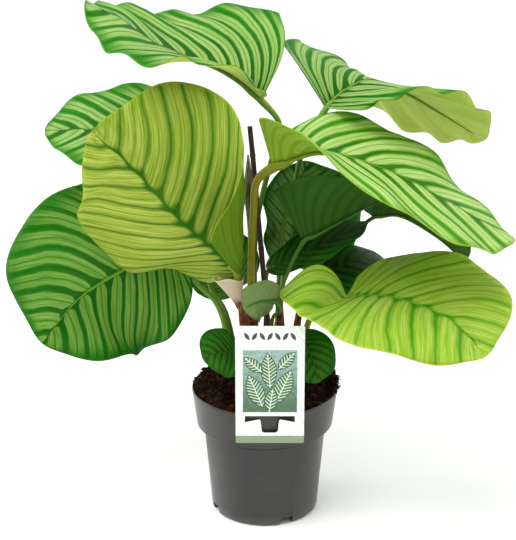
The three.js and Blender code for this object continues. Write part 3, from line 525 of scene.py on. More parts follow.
def halfPoint(leaf, rib, half, vein, out):
    # one point of a half blade: vein runs from base to tip, out from the midrib to the margin
    shape = {**usualHalf, **leaf[half]}
    sign = -1 if half == "left" else 1
    length = rib.length
    halfWidth = leaf["width"] / 2
    angle = shape["start"] + (math.pi - shape["start"]) * vein
    back = -shape["lobe"] * length
    tip = leafMake.tip * length * math.exp(-((math.pi - angle) / leafMake.tipTurn) ** 2)
    marginX = back + (length - back) * (1 - math.cos(angle)) / 2 + tip
    marginY = halfWidth * shape["wide"] * max(math.sin(angle), 0.0) ** shape["full"]
    ribX = length * vein ** leafMake.crowding
    straight = leafMake.straight
    x = ribX + (marginX - ribX) * (straight * out + (1 - straight) * out ** leafMake.crowding)
    y = marginY * out
    above, turned = 0.0, Vector((0, 0, 1))
    if "roll" in shape:
        (x, y, above), turned = rolledOver(shape["roll"], x, y)
    place, tangent, across, normal = rib.at(x)
    share = x / length
    rise = math.radians(between(shape["rise"], share))
    bend = math.radians(between(shape["curl"], share)) / halfWidth
    tilt = rise + bend * y
    sideways, upwards = y * math.cos((rise + tilt) / 2), y * math.sin((rise + tilt) / 2)
    if abs(bend * y) > 1e-3:
        sideways = (math.sin(tilt) - math.sin(rise)) / bend
        upwards = (math.cos(rise) - math.cos(tilt)) / bend
    if "hump" in shape:
        behind = min(max(x / back, 0.0), 1.0) ** leafMake.humpSteep
        hump = shape["hump"] * math.sin(leafMake.humpLength * math.pi * behind)
        upwards += hump * (1 - leafMake.humpFade * y / halfWidth)
    up = normal * math.cos(tilt) - across * (sign * math.sin(tilt))
    outward = across * (sign * math.cos(tilt)) + normal * math.sin(tilt)
    facing = tangent * turned[0] + outward * turned[1] + up * turned[2]
    high, count, turn = leaf["wave"]
    phase = turn + (0 if half == "left" else leafMake.rightWave)
    edge = math.sqrt(max(math.sin(math.pi * vein), 0.0))
    lift = high * math.sin(2 * math.pi * count * vein + phase) * out ** 2 * edge
    # the surface swells between its side veins, and ruffles a little towards the margin
    spread = min(out / leafMake.pleatFull, 1.0) * (1 - leafMake.pleatFade * out ** 3)
    spread *= edge * leaf["width"] / leafMake.pleatWidth
    beat = vein * tones[leaf["tone"]]["bands"] + (0 if half == "left" else stripes.shift)
    lift += leafMake.pleat * spread * (abs(math.sin(math.pi * beat)) - leafMake.pleatMiddle)
    point = place + across * (sign * sideways) + normal * upwards + up * above
    ruffle = noise.noise(point * leafMake.ruffleScale + Vector((leaf["width"], 0, 0)))
    lift += leafMake.ruffle * edge * out * ruffle
    return point + facing * lift


def bladePiece(name, leaf, rib):
    across, along = next(grid[1:] for grid in leafMake.grids if leaf["width"] > grid[0])

    def place(u, v):
        half = "left" if u < 0.5 else "right"
        return halfPoint(leaf, rib, half, v, abs(2 * u - 1))

    blade = laidGrid(name, across, along, place, False)
    for finish in leafLooks[leaf["tone"]][:2]:
        blade.data.materials.append(finish)
    applied(blade, "SOLIDIFY", thickness=leafMake.thickness * mm, offset=0, material_offset=1)
    return blade


def stemPiece(name, leaf, rib):
    # the stem runs from the mix to the blade, and on under it as its midrib
    slender = min(stemMake.thickest, leaf["width"] / stemMake.widthPerRadius)
    thin = leaf.get("stout", 1) * max(stemMake.thinnest, slender)
    reach = min(stemMake.reach, leaf["width"] / stemMake.widthPerReach)
    knee, under = rib.at(0), rib.at(reach)
    path = Path([(*leaf["root"], stemMake.foot), *leaf["stem"],
                 knee[0] - knee[3] * thin * stemMake.kneeDrop,
                 under[0] - under[3] * thin * stemMake.reachDrop])
    rows = round(path.length / stemMake.ringEvery)
    centres, radii = [], []
    for i in range(rows + 1):
        height = path.length * i / rows
        past = max(0, height - stemMake.sheathFull) / stemMake.sheathFade
        sheath = (leaf["sheath"] - thin) * max(0, 1 - past)
        fromKnee = (path.length - reach - height) / stemMake.knuckleLength
        knuckle = stemMake.knuckle * thin * math.exp(-fromKnee ** 2)
        centres.append(path.at(height)[0])
        radii.append(thin + sheath + knuckle)
    ribRows = round(rib.length / stemMake.ribRingEvery)
    ribRadius = min(thin, stemMake.thickest) * stemMake.ribRadius
    for i in range(1, ribRows + 1):
        x = reach + (rib.length * stemMake.ribEnd - reach) * i / ribRows
        here = rib.at(x)
        radius = stemMake.ribTip + ribRadius * (1 - x / rib.length) ** stemMake.ribTaper
        if i < stemMake.ribStartRings:
            radius += (thin * stemMake.ribStart - radius) * (1 - i / stemMake.ribStartRings)
        centres.append(here[0] - here[3] * (radius + stemMake.ribSink))
        radii.append(radius)
    stem = laidTube(name + "Stem", centres, radii, stemMake.sides, stemMake.groove)
    stem.data.materials.append(leafLooks[leaf["tone"]][2])
    return stem, path, thin


def huskPiece(name, husk, path, thin):
    # an open collar that flares out of the stem and leans over
    def place(u, v):
        spot = path.at(husk["from"] + (husk["to"] - husk["from"]) * v)[0]
        aside = (2 * u - 1) ** 2
        turn = math.radians(husk["open"]) * (2 * u - 1)
        flare = (husk["flare"] - thin) * v ** huskMake.spread * (1 - huskMake.sidesIn * aside)
        radius = thin + huskMake.clear + flare
        side = Vector((math.sin(turn) * radius, -math.cos(turn) * radius * husk["flat"], 0))
        lip = v * (huskMake.lip * math.cos(huskMake.lipWaves * turn) - huskMake.sidesDown * aside)
        return spot + side + Vector((husk["lean"] * v ** huskMake.leanRate, 0, lip))

    collar = laidGrid(name + "Husk", huskMake.across, huskMake.along, place, False)
    applied(collar, "SOLIDIFY", thickness=huskMake.thickness * mm, offset=0)
    collar.data.materials.append(huskLook)
    return collar


def growLeaf(node, **leaf):
    # one leaf with its stem, and its husk where it has one, in place of its CAD node
    leaf = {**usualLeaf, **leaf}
    first, *rest = node.split("_")[1:]
    name = first + "".join(word.title() for word in rest) + "Leaf"
    rib = Midrib(leaf)
    blade = bladePiece(name, leaf, rib)
    stem, path, thin = stemPiece(name, leaf, rib)
    pieces = [blade, stem]
    if "husk" in leaf:
        pieces.append(huskPiece(name, leaf["husk"], path, thin))
    stand(joined(name, pieces), node)


growLeaf(
    "leaf_top_left", tone="mid", width=170, root=(-8, 9),
    stem=[(-10, 14, 237), (-8, 17, 282), (0, 26, 319), (8, 30, 349), (13, 24, 377)],
    midrib=[(-3, 16, 402), (-23, 18, 419), (-46, 20, 432), (-74, 22, 441), (-104, 22, 455),
            (-130, 20, 475), (-156, 16, 488)],
    right=dict(rise=[84, 40, 17, 8, -4], curl=[0, 0, -10], lobe=0.15, start=1.1),
    left=dict(rise=[22, 16, 7, -3, -28], curl=[0, 0, 0, -20, -20], lobe=0.02),
    wave=(4, 5, 0.5))
growLeaf(
    "leaf_top_right", tone="mid", width=155, root=(12, 14),
    stem=[(15, 41, 249), (28, 40, 313), (37, 44, 351)],
    midrib=[(56, 46, 387), (75, 58, 401), (101, 68, 409), (136, 76, 394), (169, 78, 374), (207, 78, 350)],
    faces=[(0, 0, 1), (0, 0.1, 1), (0.2, 0.4, 0.85), (0.3, 0.5, 0.85), (0.3, 0.5, 0.85)],
    left=dict(rise=[82, 16, -2, -6, -4], lobe=0.27, start=0.98),
    right=dict(rise=[2, -4, -8, -4, 2], wide=1.14, lobe=0),
    wave=(4, 5, 0.5))
growLeaf(
    "leaf_right", tone="fresh", width=168, root=(-14, -6), sheath=5.4, stout=1.4,
    stem=[(-13, -9, 245), (-11, -11, 299), (-8, -14, 332)],
    midrib=[(6, -15, 348), (46, -22, 363), (84, -30, 357), (125, -36, 342), (165, -42, 321), (218, -46, 291)],
    left=dict(rise=[24, 14, 10, 3, -2], lobe=0, start=0.15),
    right=dict(rise=[80, 14, -2, -7, -16], lobe=0.04, start=0.6),
    wave=(3, 4, 0.2))
growLeaf(
    "leaf_front_left", tone="young", width=190, root=(-4, -18), sheath=7,
    stem=[(-23, -27, 217)],
    midrib=[(-26, -32, 249), (-46, -43, 277), (-76, -54, 309), (-118, -56, 359), (-148, -49, 384)],
    faces=[(-0.3, -1, 0.3), (-0.1, -1, 0.4), (0, -1, 0.4)],
    right=dict(rise=[4, 4, 4, 0], curl=[0, 0, 20, 0, 0], wide=1.17, full=0.7, lobe=0.05, start=0.62,
               roll={"from": 23, "cone": 13, "turn": 180, "behind": 14, "opens": 5}),
    left=dict(rise=[-27, -34, -40], curl=[-20, -10, 0], wide=1.04, lobe=0.05),
    wave=(1.5, 3, 2.6),
    husk={"from": 104, "to": 136, "open": 120, "flare": 15, "flat": 0.5, "lean": -8})
growLeaf(
    "leaf_back_left", tone="mid", width=140, root=(-22, 8),
    stem=[(-37, 14, 191), (-53, 34, 216), (-57, 52, 275)],
    midrib=[(-57, 58, 343), (-109, 62, 358), (-168, 62, 362), (-204, 60, 361)],
    right=dict(rise=[28, 26, 20]),
    left=dict(rise=[-8, -14, -20]),
    wave=(3, 4, 0.2))
growLeaf(
    "leaf_lower_left", tone="shade", slot="leaf_mid", width=190, root=(-26, -4),
    stem=[(-41, 2, 197), (-65, 10, 227)],
    midrib=[(-88, 15, 261), (-130, 1, 244), (-173, -12, 219), (-206, -22, 181)],
    faces=[(-0.3, -0.8, 0.6), (-0.35, -0.85, 0.5)],
    right=dict(rise=[12, 5, 0], wide=1.06),
    left=dict(rise=[-28, -44, -30], curl=[0, -20, -10], wide=0.93),
    wave=(2.5, 4, 0.2))
growLeaf(
    "leaf_front_right", tone="light", slot="leaf_fresh", width=178, root=(22, -16),
    stem=[(38, -22, 191), (51, -26, 212)],
    midrib=[(75, -30, 227), (107, -52, 236), (137, -76, 236), (166, -98, 228), (189, -116, 207)],
    left=dict(rise=[18, 12, 14]),
    right=dict(rise=[3, -4, -10], curl=[0, -10, -10], lobe=0.34, start=0.25, hump=40),
    wave=(3, 3, 0.2))
growLeaf(
    "leaf_folded_middle", tone="deep", width=112, root=(14, -10), sheath=5.4,
    stem=[(15, -13, 215), (22, -14, 247)],
    midrib=[(35, -8, 274), (63, -6, 289), (95, 0, 305), (121, 6, 312)],
    left=dict(rise=[30, 20, 10], curl=[0, 0, -10]),
    right=dict(rise=[88, 62, 42], wide=1.12, lobe=0.36, start=1.05))
growLeaf(
    "leaf_upright_back", tone="shade", slot="leaf_mid", width=136, root=(0, 26), sheath=3,
    stem=[(16, 42, 197)],
    midrib=[(19, 64, 228), (27, 72, 258), (33, 78, 291), (39, 78, 324)],
    faces=[(0, -1, 0.2)],
    left=dict(rise=[60, 58, 40], curl=[0, 0, -10], wide=0.85),
    right=dict(rise=[-22], wide=1.06))
growLeaf(
    "leaf_low_middle", tone="deep", width=80, root=(1, 13), sheath=2.6,
    stem=[(1, 8, 210)],
    midrib=[(2, 9, 239), (33, 13, 254), (66, 18, 268), (95, 24, 281)],
    left=dict(rise=[10, 10, 0], curl=[0, 0, -10], wide=0.8, start=0.12, lobe=0),
    right=dict(rise=[-10, -10, 0], wide=0.7, start=0.2, lobe=0),
    wave=(1.5, 3, 0.2))
growLeaf(
    "leaf_low_right", tone="deep", width=96, root=(24, 3), sheath=2.6,
    stem=[(36, 12, 208)],
    midrib=[(50, 22, 220), (77, 36, 236), (106, 46, 237), (132, 52, 218)],
    left=dict(rise=[6, 6, 0], curl=[0, 0, -10], wide=0.8, start=0.2, lobe=0),
    right=dict(rise=[-10, -10, 0]))
growLeaf(
    "leaf_drooping_right", tone="deep", width=76, root=(22, 17), sheath=2.8,
    stem=[(36, 24, 208), (64, 34, 249), (87, 38, 269)],
    midrib=[(103, 40, 282), (130, 48, 281), (166, 54, 258), (193, 56, 233)],
    left=dict(rise=[10, 10, 10], curl=[0, 0, -10]),
    right=dict(rise=[80, 70, 40]))
growLeaf(
    "leaf_small_centre", tone="dusty", slot="leaf_deep", width=42, root=(6, -22), sheath=2.4,
    stem=[(6, -30, 199), (13, -42, 216)],
    midrib=[(9, -50, 230), (0, -57, 233), (-9, -62, 233), (-19, -64, 229)],
    faces=[(0, 1, 0.1)],
    wave=(1, 3, 0.2))
growLeaf(
    "leaf_small_left", tone="deep", width=52, root=(-16, -18), sheath=2.2,
    stem=[(-18, -34, 170)],
    midrib=[(-23, -42, 177), (-35, -50, 180), (-46, -56, 181), (-56, -60, 178)],
    faces=[(-0.1, -0.7, 0.7)],
    left=dict(curl=[0, 0, -10]),
    wave=(1, 3, 0.2))
growLeaf(
    "leaf_small_right", tone="deep", width=48, root=(16, -28), sheath=2.2,
    stem=[(23, -36, 188)],
    midrib=[(30, -44, 194), (39, -54, 185), (45, -60, 171), (48, -62, 156)],
    faces=[(0.2, -0.8, 0.6)],
    left=dict(curl=[0, 0, -10]),
    wave=(1, 3, 0.2))
growLeaf(
    "leaf_low_back", tone="shade", slot="leaf_mid", width=74, root=(-12, 22), sheath=2.6,
    stem=[(-20, 34, 185)],
    midrib=[(-24, 54, 205), (-38, 66, 220), (-52, 74, 232), (-65, 80, 240)],
    faces=[(-0.2, -0.8, 0.5)],
    left=dict(curl=[0, 0, -10]))
print("leaves made")


pot = Settings(
    sides=160, smoothBelow=32,
    # radius and height of each ring: pad, floor, foot, body, collar, rim, and down inside to the floor
    rings=[
        (14, 0), (15, 3.6), (16, 4), (46.2, 4), (46.8, 3.2), (47.8, 0.3), (48.2, 0), (49.2, 0), (50.4, 0.5),
        (51.2, 1.4), (51.6, 2.6), (58.4, 82.5), (58.6, 84), (59.4, 84.8), (64.6, 88.2), (65.4, 89),
        (65.7, 90.5), (69.7, 122), (70.0, 123.4), (69.9, 124.4), (69.5, 125), (69.0, 125), (68.6, 124.4),
        (68.4, 123), (64.5, 90.4), (64.2, 89.4), (57.6, 85), (57.2, 83.6), (50.5, 6.4), (49.8, 5.4),
        (20, 5.4), (1, 5.4),
    ],
    notches=4, firstNotch=-66, notchWidth=13, notchHeight=7.5, notchDepth=9,
    notchMiddle=48.1, notchBelow=2,
    shade=tint(24, 23, 22), plastic=tint(36, 35, 34),
    dust=tint(66, 62, 59), dustEdge=(0.42, 0.72), dustShare=0.3,
    soiled=tint(46, 32, 24), soiledHeight=(0.112, 0.125), soiledEdge=(0.45, 0.75),
    soiledShare=0.5, scraped=(tint(120, 114, 108), 0.012, 0.0, 0.25), scuffEdge=(0.58, 0.74),
    rough=0.3, dustRough=0.14, scuffRough=0.12, gloss=0.5,
)


def turnedUp(name, profile, sides):
    # a disc that is extruded and resized from ring to ring, up, over the rim and down inside
    radius, height = profile[0]
    bpy.ops.object.select_all(action="DESELECT")
    bpy.ops.mesh.primitive_circle_add(vertices=sides, radius=radius * mm, fill_type="NGON",
                                      location=(0, 0, height * mm))
    piece = bpy.context.object
    piece.name = name
    bpy.ops.object.transform_apply(location=True, rotation=True, scale=True)
    editAll(piece)
    bpy.ops.mesh.select_mode(type="FACE")
    for wider, higher in profile[1:]:
        bpy.ops.mesh.extrude_region_move(TRANSFORM_OT_translate={"value": (0, 0, (higher - height) * mm)})
        share = wider / radius
        bpy.ops.transform.resize(value=(share, share, 1), center_override=(0, 0, higher * mm))
        radius, height = wider, higher
    bpy.ops.mesh.select_all(action="SELECT")
    bpy.ops.mesh.normals_make_consistent(inside=False)
    bpy.ops.object.mode_set(mode="OBJECT")
    return piece


potPiece = turnedUp("growerPot", pot.rings, pot.sides)
cutterSize = Vector((pot.notchDepth, pot.notchWidth, pot.notchHeight + pot.notchBelow)) * mm
for i in range(pot.notches):
    turn = math.radians(pot.firstNotch + 360 / pot.notches * i)
    middle = Vector((math.cos(turn), math.sin(turn), 0)) * pot.notchMiddle
    middle.z = (pot.notchHeight - pot.notchBelow) / 2
    bpy.ops.object.select_all(action="DESELECT")
    bpy.ops.mesh.primitive_cube_add(size=1, location=(0, 0, 0))
    cutter = bpy.context.object
    cutter.data.transform(Matrix.Diagonal((*cutterSize, 1)))
    cutter.data.transform(Matrix.Rotation(turn, 4, "Z"))
    cutter.data.transform(Matrix.Translation(middle * mm))
    applied(potPiece, "BOOLEAN", object=cutter, operation="DIFFERENCE", solver="EXACT")
    bpy.data.objects.remove(cutter)
choose(potPiece)
bpy.ops.object.shade_smooth_by_angle(angle=math.radians(pot.smoothBelow))

look = Look("potPlastic")
place = look.where()
x, y, z = look.split(place)
smear = look.grain(look.join(x * 30, y * 30, z * 4), 1.0, 4, 0.6)
dust = look.soft(look.grain(place, 18, 5, 0.6), *pot.dustEdge)
scuff = look.soft(look.grain(look.join(x * 6, y * 6, z * 60), 6.0, 5, 0.7), *pot.scuffEdge)
soiled = look.soft(z, *pot.soiledHeight) * look.soft(smear, *pot.soiledEdge) * pot.soiledShare
colour = look.mix(smear, pot.shade, pot.plastic)
colour = look.mix(dust * pot.dustShare, colour, pot.dust)
colour = look.mix(soiled, colour, pot.soiled)
colour = look.stain(colour, z, *pot.scraped)
fine = look.grain(place, 1500, 2)
potLook = look.finish(colour, pot.rough + dust * pot.dustRough + scuff * pot.scuffRough, pot.gloss,
                      look.relief(fine * 0.6 + smear * 0.5 + scuff * 0.2, 0.18, 0.0005))
potPiece.data.materials.append(potLook)
stand(potPiece, "pot")
print("pot made")


mixMake = Settings(
    across=240, along=100,
    lip=68.0, edgeHeight=123, heap=13, frontDown=3, backUp=3,
    lumps=[(3.4, 0.11), (2.0, 0.42), (1.0, 1.1)],         # height, and how close together
    flapAt=(4.4, -68), flapRoom=(12, 4), flapDip=2.5,
    # radius and height down the side, and the share of the grid that it takes
    side=[(0, 5.8), (49.4, 5.8), (56.6, 84.4), (63.6, 89.6), (67.4, 120)], sideShare=0.1,
    crowding=0.9, spillTurn=0.1, spillFrom=0.93, spill=4.0, spillHeight=125.6, spillRise=1.4,
    spillLeast=0.7, spillVary=0.5, spillScale=0.3,
)
bitMake = Settings(
    seed=7, shapes=4, count=1030, crumbShare=640 / 900,
    lumpLeast=0.75, lumpVary=0.5, strand=0.1, bendsAt=0.35, sway=(0.1, 0.4), sideSway=0.3,
    spiltEvery=7, spiltFirst=3,
    spiltTurn=(0.1, 0.34), spiltShare=(0.93, 1.0), spiltRise=(0.3, 3.0),
    frontIn=2.5, rightOut=2.4, overRim=66.8, rimHeight=125.4,
    crumbSizes=[0.8, 1.0, 1.4, 1.9, 2.7, 3.4], crumbVary=(0.7, 1.4), crumbFlat=0.7, crumbUp=0.2,
    fibreLength=(2.0, 6.5), fibreWidth=(2.0, 4.5), fibreTilt=0.35, fibreUp=0.8, tilt=0.5,
)


def towardsRight(angle):
    # 1 where the mix runs over the rim, 0 on the far side
    return max(0.0, math.cos(angle - mixMake.spillTurn))


def mixTop(x, y):
    # height of the heap at a place
    share = min(math.hypot(x, y) / mixMake.lip, 1.0)
    front = max(0.0, -math.sin(math.atan2(y, x))) * share
    height = mixMake.edgeHeight + mixMake.heap * (1 - share ** 3)
    height += mixMake.backUp * (1 - front) * share - mixMake.frontDown * front * (1 - share)
    for high, close in mixMake.lumps:
        height += high * noise.noise(Vector((x, y, 0)) * close)
    fromFlap = [(a - b) / room for a, b, room in zip((x, y), mixMake.flapAt, mixMake.flapRoom)]
    return height - mixMake.flapDip * math.exp(-fromFlap[0] ** 2 - fromFlap[1] ** 2)


def mixPlace(u, v):
    angle = 2 * math.pi * u
    heading = Vector((math.cos(angle), math.sin(angle), 0))
    side, sideShare = mixMake.side, mixMake.sideShare
    if v <= sideShare:
        at = v / sideShare * (len(side) - 1)
        i = min(int(at + 1e-6), len(side) - 2)
        radius, height = [a + (b - a) * (at - i) for a, b in zip(side[i], side[i + 1])]
        return heading * radius + Vector((0, 0, height))
    share = 1 - (v - sideShare) / (1 - sideShare)
    radius = mixMake.lip * share ** mixMake.crowding
    spot = heading * radius
    height = mixTop(spot.x, spot.y)
    over = max(0.0, (share - mixMake.spillFrom) / (1 - mixMake.spillFrom)) * towardsRight(angle) ** 3
    ragged = mixMake.spillLeast + mixMake.spillVary * noise.noise(spot * mixMake.spillScale)
    radius += over * mixMake.spill * ragged
    if over > 0:
        height = max(height, mixMake.spillHeight + mixMake.spillRise * over)
    return heading * radius + Vector((0, 0, height))


mixPiece = laidGrid("pottingMix", mixMake.across, mixMake.along, mixPlace, True)

rng = random.Random(bitMake.seed)
bpy.ops.object.select_all(action="DESELECT")
crumbShapes = []
for i in range(bitMake.shapes):
    bpy.ops.mesh.primitive_ico_sphere_add(subdivisions=1, radius=1.0)
    crumb = bpy.context.object
    for point in crumb.data.vertices:
        point.co *= bitMake.lumpLeast + bitMake.lumpVary * rng.random()
    crumbShapes.append(crumb)
fibreShapes = []
for i in range(bitMake.shapes):
    bpy.ops.mesh.primitive_cylinder_add(vertices=5, radius=bitMake.strand, depth=2.0)
    fibre = bpy.context.object
    editAll(fibre)
    bpy.ops.mesh.bisect(plane_co=(0, 0, bitMake.bendsAt), plane_no=(0, 0, 1))
    bpy.ops.mesh.select_all(action="SELECT")
    bpy.ops.mesh.bisect(plane_co=(0, 0, -bitMake.bendsAt), plane_no=(0, 0, 1))
    bpy.ops.object.mode_set(mode="OBJECT")
    sway = rng.uniform(*bitMake.sway)
    for point in fibre.data.vertices:
        point.co.x += sway * point.co.z ** 2
        point.co.y += bitMake.sideSway * sway * point.co.z
    fibreShapes.append(fibre)


def scattered(source, size, spot, turns):
    # a copy with its own mesh, its place in the mesh
    copy = bpy.data.objects.new("bit", source.data.copy())
    bpy.context.scene.collection.objects.link(copy)
    turn = Matrix.Rotation(turns[0], 4, "Z") @ Matrix.Rotation(turns[1], 4, "X")
    copy.data.transform(Matrix.Translation(spot * mm) @ turn @ Matrix.Diagonal((*[s * mm for s in size], 1)))
    return copy


bits = []
for i in range(bitMake.count):
    spilt = i % bitMake.spiltEvery == bitMake.spiltFirst       # over the rim on the right
    angle = rng.gauss(*bitMake.spiltTurn) if spilt else rng.uniform(0, 2 * math.pi)
    share = rng.uniform(*bitMake.spiltShare) if spilt else math.sqrt(rng.random())
    front = max(0.0, -math.sin(angle)) ** 6
    radius = mixMake.lip - bitMake.frontIn * front + bitMake.rightOut * towardsRight(angle) ** 2
    radius *= share
    spot = Vector((math.cos(angle) * radius, math.sin(angle) * radius, 0))
    spot.z = max(mixTop(spot.x, spot.y), bitMake.rimHeight if radius > bitMake.overRim else 0)
    if spilt:
        spot.z += rng.uniform(*bitMake.spiltRise)
    turns = (rng.uniform(0, 2 * math.pi), rng.uniform(-bitMake.tilt, bitMake.tilt))
    if rng.random() < bitMake.crumbShare:
        grainSize = rng.choice(bitMake.crumbSizes)
        size = [grainSize * rng.uniform(*bitMake.crumbVary) for _ in range(3)]
        size[2] *= bitMake.crumbFlat
        spot.z += bitMake.crumbUp * grainSize
        bits.append(scattered(rng.choice(crumbShapes), size, spot, turns))
    else:
        length = rng.uniform(*bitMake.fibreLength)
        width = rng.uniform(*bitMake.fibreWidth)
        turns = (turns[0], math.pi / 2 + rng.uniform(-bitMake.fibreTilt, bitMake.fibreTilt))
        spot.z += bitMake.fibreUp
        bits.append(scattered(rng.choice(fibreShapes), (width, width, length), spot, turns))

earth = Settings(
    dark=tint(6, 4, 2), brown=tint(30, 17, 10), bark=(tint(46, 25, 14), 0.54, 0.68, 0.7),
    speck=(tint(112, 70, 42), 0.60, 0.70, 0.4),
    bitDark=tint(10, 6, 4), bitBrown=tint(72, 40, 22), bitEdge=(0.40, 0.76),
    strand=tint(60, 36, 22), strandShare=0.3, rough=0.95, bitRough=0.92, gloss=0.06,
)
look = Look("mixEarth")
place = look.where()
clod = look.grain(place, 160, 5, 0.65)
bark = look.grain(place, 60, 4, 0.6)
colour = look.mix(clod, earth.dark, earth.brown)
colour = look.stain(colour, bark, *earth.bark)
colour = look.stain(colour, look.grain(place, 520, 3), *earth.speck)
earthLook = look.finish(colour, earth.rough, earth.gloss, look.relief(clod + bark * 0.5, 1.0, 0.0014))
look = Look("mixBits")
place = look.where()
patch = look.grain(place, 120, 4, 0.7)
strand = look.grain(place, 700, 3)
colour = look.mix(look.soft(patch, *earth.bitEdge), earth.bitDark, earth.bitBrown)
colour = look.mix(strand * earth.strandShare, colour, earth.strand)
bitLook = look.finish(colour, earth.bitRough, earth.gloss, look.relief(strand, 0.6, 0.0005))
mixPiece.data.materials.append(earthLook)
for bit in bits:
    bit.data.materials.append(bitLook)
for source in crumbShapes + fibreShapes:
    bpy.data.objects.remove(source)
mixPiece = joined("pottingMix", [mixPiece] + bits)
stand(mixPiece, "soil")
print("mix made")


cane = Settings(
    radius=3, foot=(10, 2, 110), top=(-14, 5, 379), rings=90, sides=18,
    wobble=0.7, wobbles=4, knots=[160, 214, 262, 318, 352], knotLength=2.2, knot=0.13,
    thick=0.9, taper=0.12, uneven=0.06, cap=0.1,
    dark=tint(30, 20, 16), brown=tint(78, 58, 44), lichen=(tint(96, 86, 62), 0.5, 0.75, 0.6),
    rough=0.7, gloss=0.3,
)
foot, top = Vector(cane.foot), Vector(cane.top)
centres, radii = [], []
for i in range(cane.rings + 1):
    t = i / cane.rings
    at = t * cane.wobbles
    spot = foot.lerp(top, t)
    spot += Vector((noise.noise(Vector((at, 0, 3))), noise.noise(Vector((at, 7, 3))), 0)) * cane.wobble
    knot = sum(math.exp(-((spot.z - k) / cane.knotLength) ** 2) for k in cane.knots)
    thick = cane.thick - cane.taper * t + cane.knot * knot + cane.uneven * noise.noise(spot * 0.2)
    centres.append(spot)
    radii.append(cane.radius * thick)
centres.append(top + Vector((0, 0, cane.cap)))
radii.append(0)
canePiece = laidTube("supportStick", centres, radii, cane.sides)
look = Look("stickBark")
place = look.where()
x, y, z = look.split(place)
grainLines = look.grain(look.join(x * 420, y * 420, z * 26), 1.0, 4, 0.65)
colour = look.mix(grainLines, cane.dark, cane.brown)
colour = look.stain(colour, look.grain(place, 45, 3), *cane.lichen)
caneLook = look.finish(colour, cane.rough, cane.gloss, look.relief(grainLines, 0.7, 0.0006))
canePiece.data.materials.append(caneLook)
stand(canePiece, "support_cane")

rolled = Settings(
    axis=[(-4, -4, 110), (-9, -2, 200), (-13, -1, 255), (-14, -2, 289), (-14.5, -4, 315),
             (-15, -4, 335), (-15.5, -4, 355)],
    radii=[2.2, 2.2, 2.2, 2.6, 4.6, 3.4, 0.5], turns=1.55, tighten=0.3, twist=3.2,
    around=44, along=130, thickness=0.4,
    dark=tint(66, 56, 46), green=tint(132, 130, 86), lineEdge=(0.35, 0.65),
    foot=(tint(112, 66, 44), 0.35, 0.12), pale=(tint(186, 182, 146), 0.5, 0.75, 0.3),
    rough=0.45, lineRough=0.15, gloss=0.4,
)
axis = [Vector(p) for p in rolled.axis]


def rolledPlace(u, v):
    # a sheet that is rolled round its own axis, its outer margin lapping over
    centre = between(axis, v)
    radius = between(rolled.radii, v) * (1 - rolled.tighten * u)
    angle = 2 * math.pi * rolled.turns * u + v * rolled.twist
    return centre + Vector((math.cos(angle), math.sin(angle), 0)) * radius


rolledPiece = laidGrid("rolledYoungLeaf", rolled.around, rolled.along, rolledPlace, False)
applied(rolledPiece, "SOLIDIFY", thickness=rolled.thickness * mm, offset=0)
look = Look("rolledLeafSkin")
across, along = look.laid()
lines = look.grain(look.join(across * 26, along * 5), 1.0, 4, 0.6)
colour = look.mix(look.soft(lines, *rolled.lineEdge), rolled.dark, rolled.green)
colour = look.stain(colour, along, *rolled.foot)
colour = look.stain(colour, look.grain(look.where(), 70, 3), *rolled.pale)
rolledLook = look.finish(colour, rolled.rough + lines * rolled.lineRough, rolled.gloss,
                         look.relief(lines, 0.4, 0.0005))
rolledPiece.data.materials.append(rolledLook)
stand(rolledPiece, "rolled_leaf")
print("stick and rolled leaf made")


# the print is drawn in millimetres from the card's middle line and its foot
card = Settings(
    centre=4.4, foot=98, front=-70.7,
    paper=tint(238, 240, 236), shade=(tint(208, 214, 208), 0.35, 0.8, 0.6),
    rowCount=7, rowStart=-21, rowStep=7, rowHeight=106, rowLeaf=(1.9, 4.6), rowLean=32,
    rowTone=tint(52, 56, 54),
    panelHalf=25.0, panelHeight=62, panelRise=31.0, panelEdge=0.4,
    panelLow=tint(70, 108, 74), panelHigh=tint(150, 182, 172), panelFrom=(32, 92),
    mottle=(tint(38, 74, 46), 0.4, 0.7, 0.45),
    # place, half width, half height and lean of each leaf on the panel
    leaves=[(-13, 52, 7.5, 17, 22), (12, 56, 7.5, 18, -24), (-1, 72, 7, 17, 4),
               (-15, 78, 5, 11, 48), (15, 82, 5, 11, -42), (1, 43, 5.5, 12, -8)],
    leafPale=tint(204, 220, 196), leafDark=(tint(48, 104, 56), 0.20, 0.48),
    leafRib=(tint(226, 234, 214), 0.5, 0.25), stripes=0.30, stripeSlant=0.22,
    outline=tint(26, 56, 34), outlineWide=0.7, outlineHigh=1.2,
    band=(tint(128, 148, 120), 7.6, 7.3),
    fleck=tint(120, 120, 116), fleckShare=0.06, back=tint(226, 228, 222),
    rough=0.34, fleckRough=0.08, gloss=0.5,
)
look = Look("cardPrint")
place = look.where()
x, y, z = look.split(place)
px = (x - card.centre * mm) * 1000
pz = (z - card.foot * mm) * 1000
front = y < card.front * mm


def leafShape(cx, cz, wide, high, lean):
    # how far inside a pointed oval that leans over, and the places across and along it
    cos, sin = math.cos(math.radians(lean)), math.sin(math.radians(lean))
    a = (px - cx) * cos + (pz - cz) * sin
    b = (pz - cz) * cos - (px - cx) * sin
    share = b * (1 / high)
    return look.soft((1 - share * share) * wide - abs(a), 0.0, 0.25), a, b


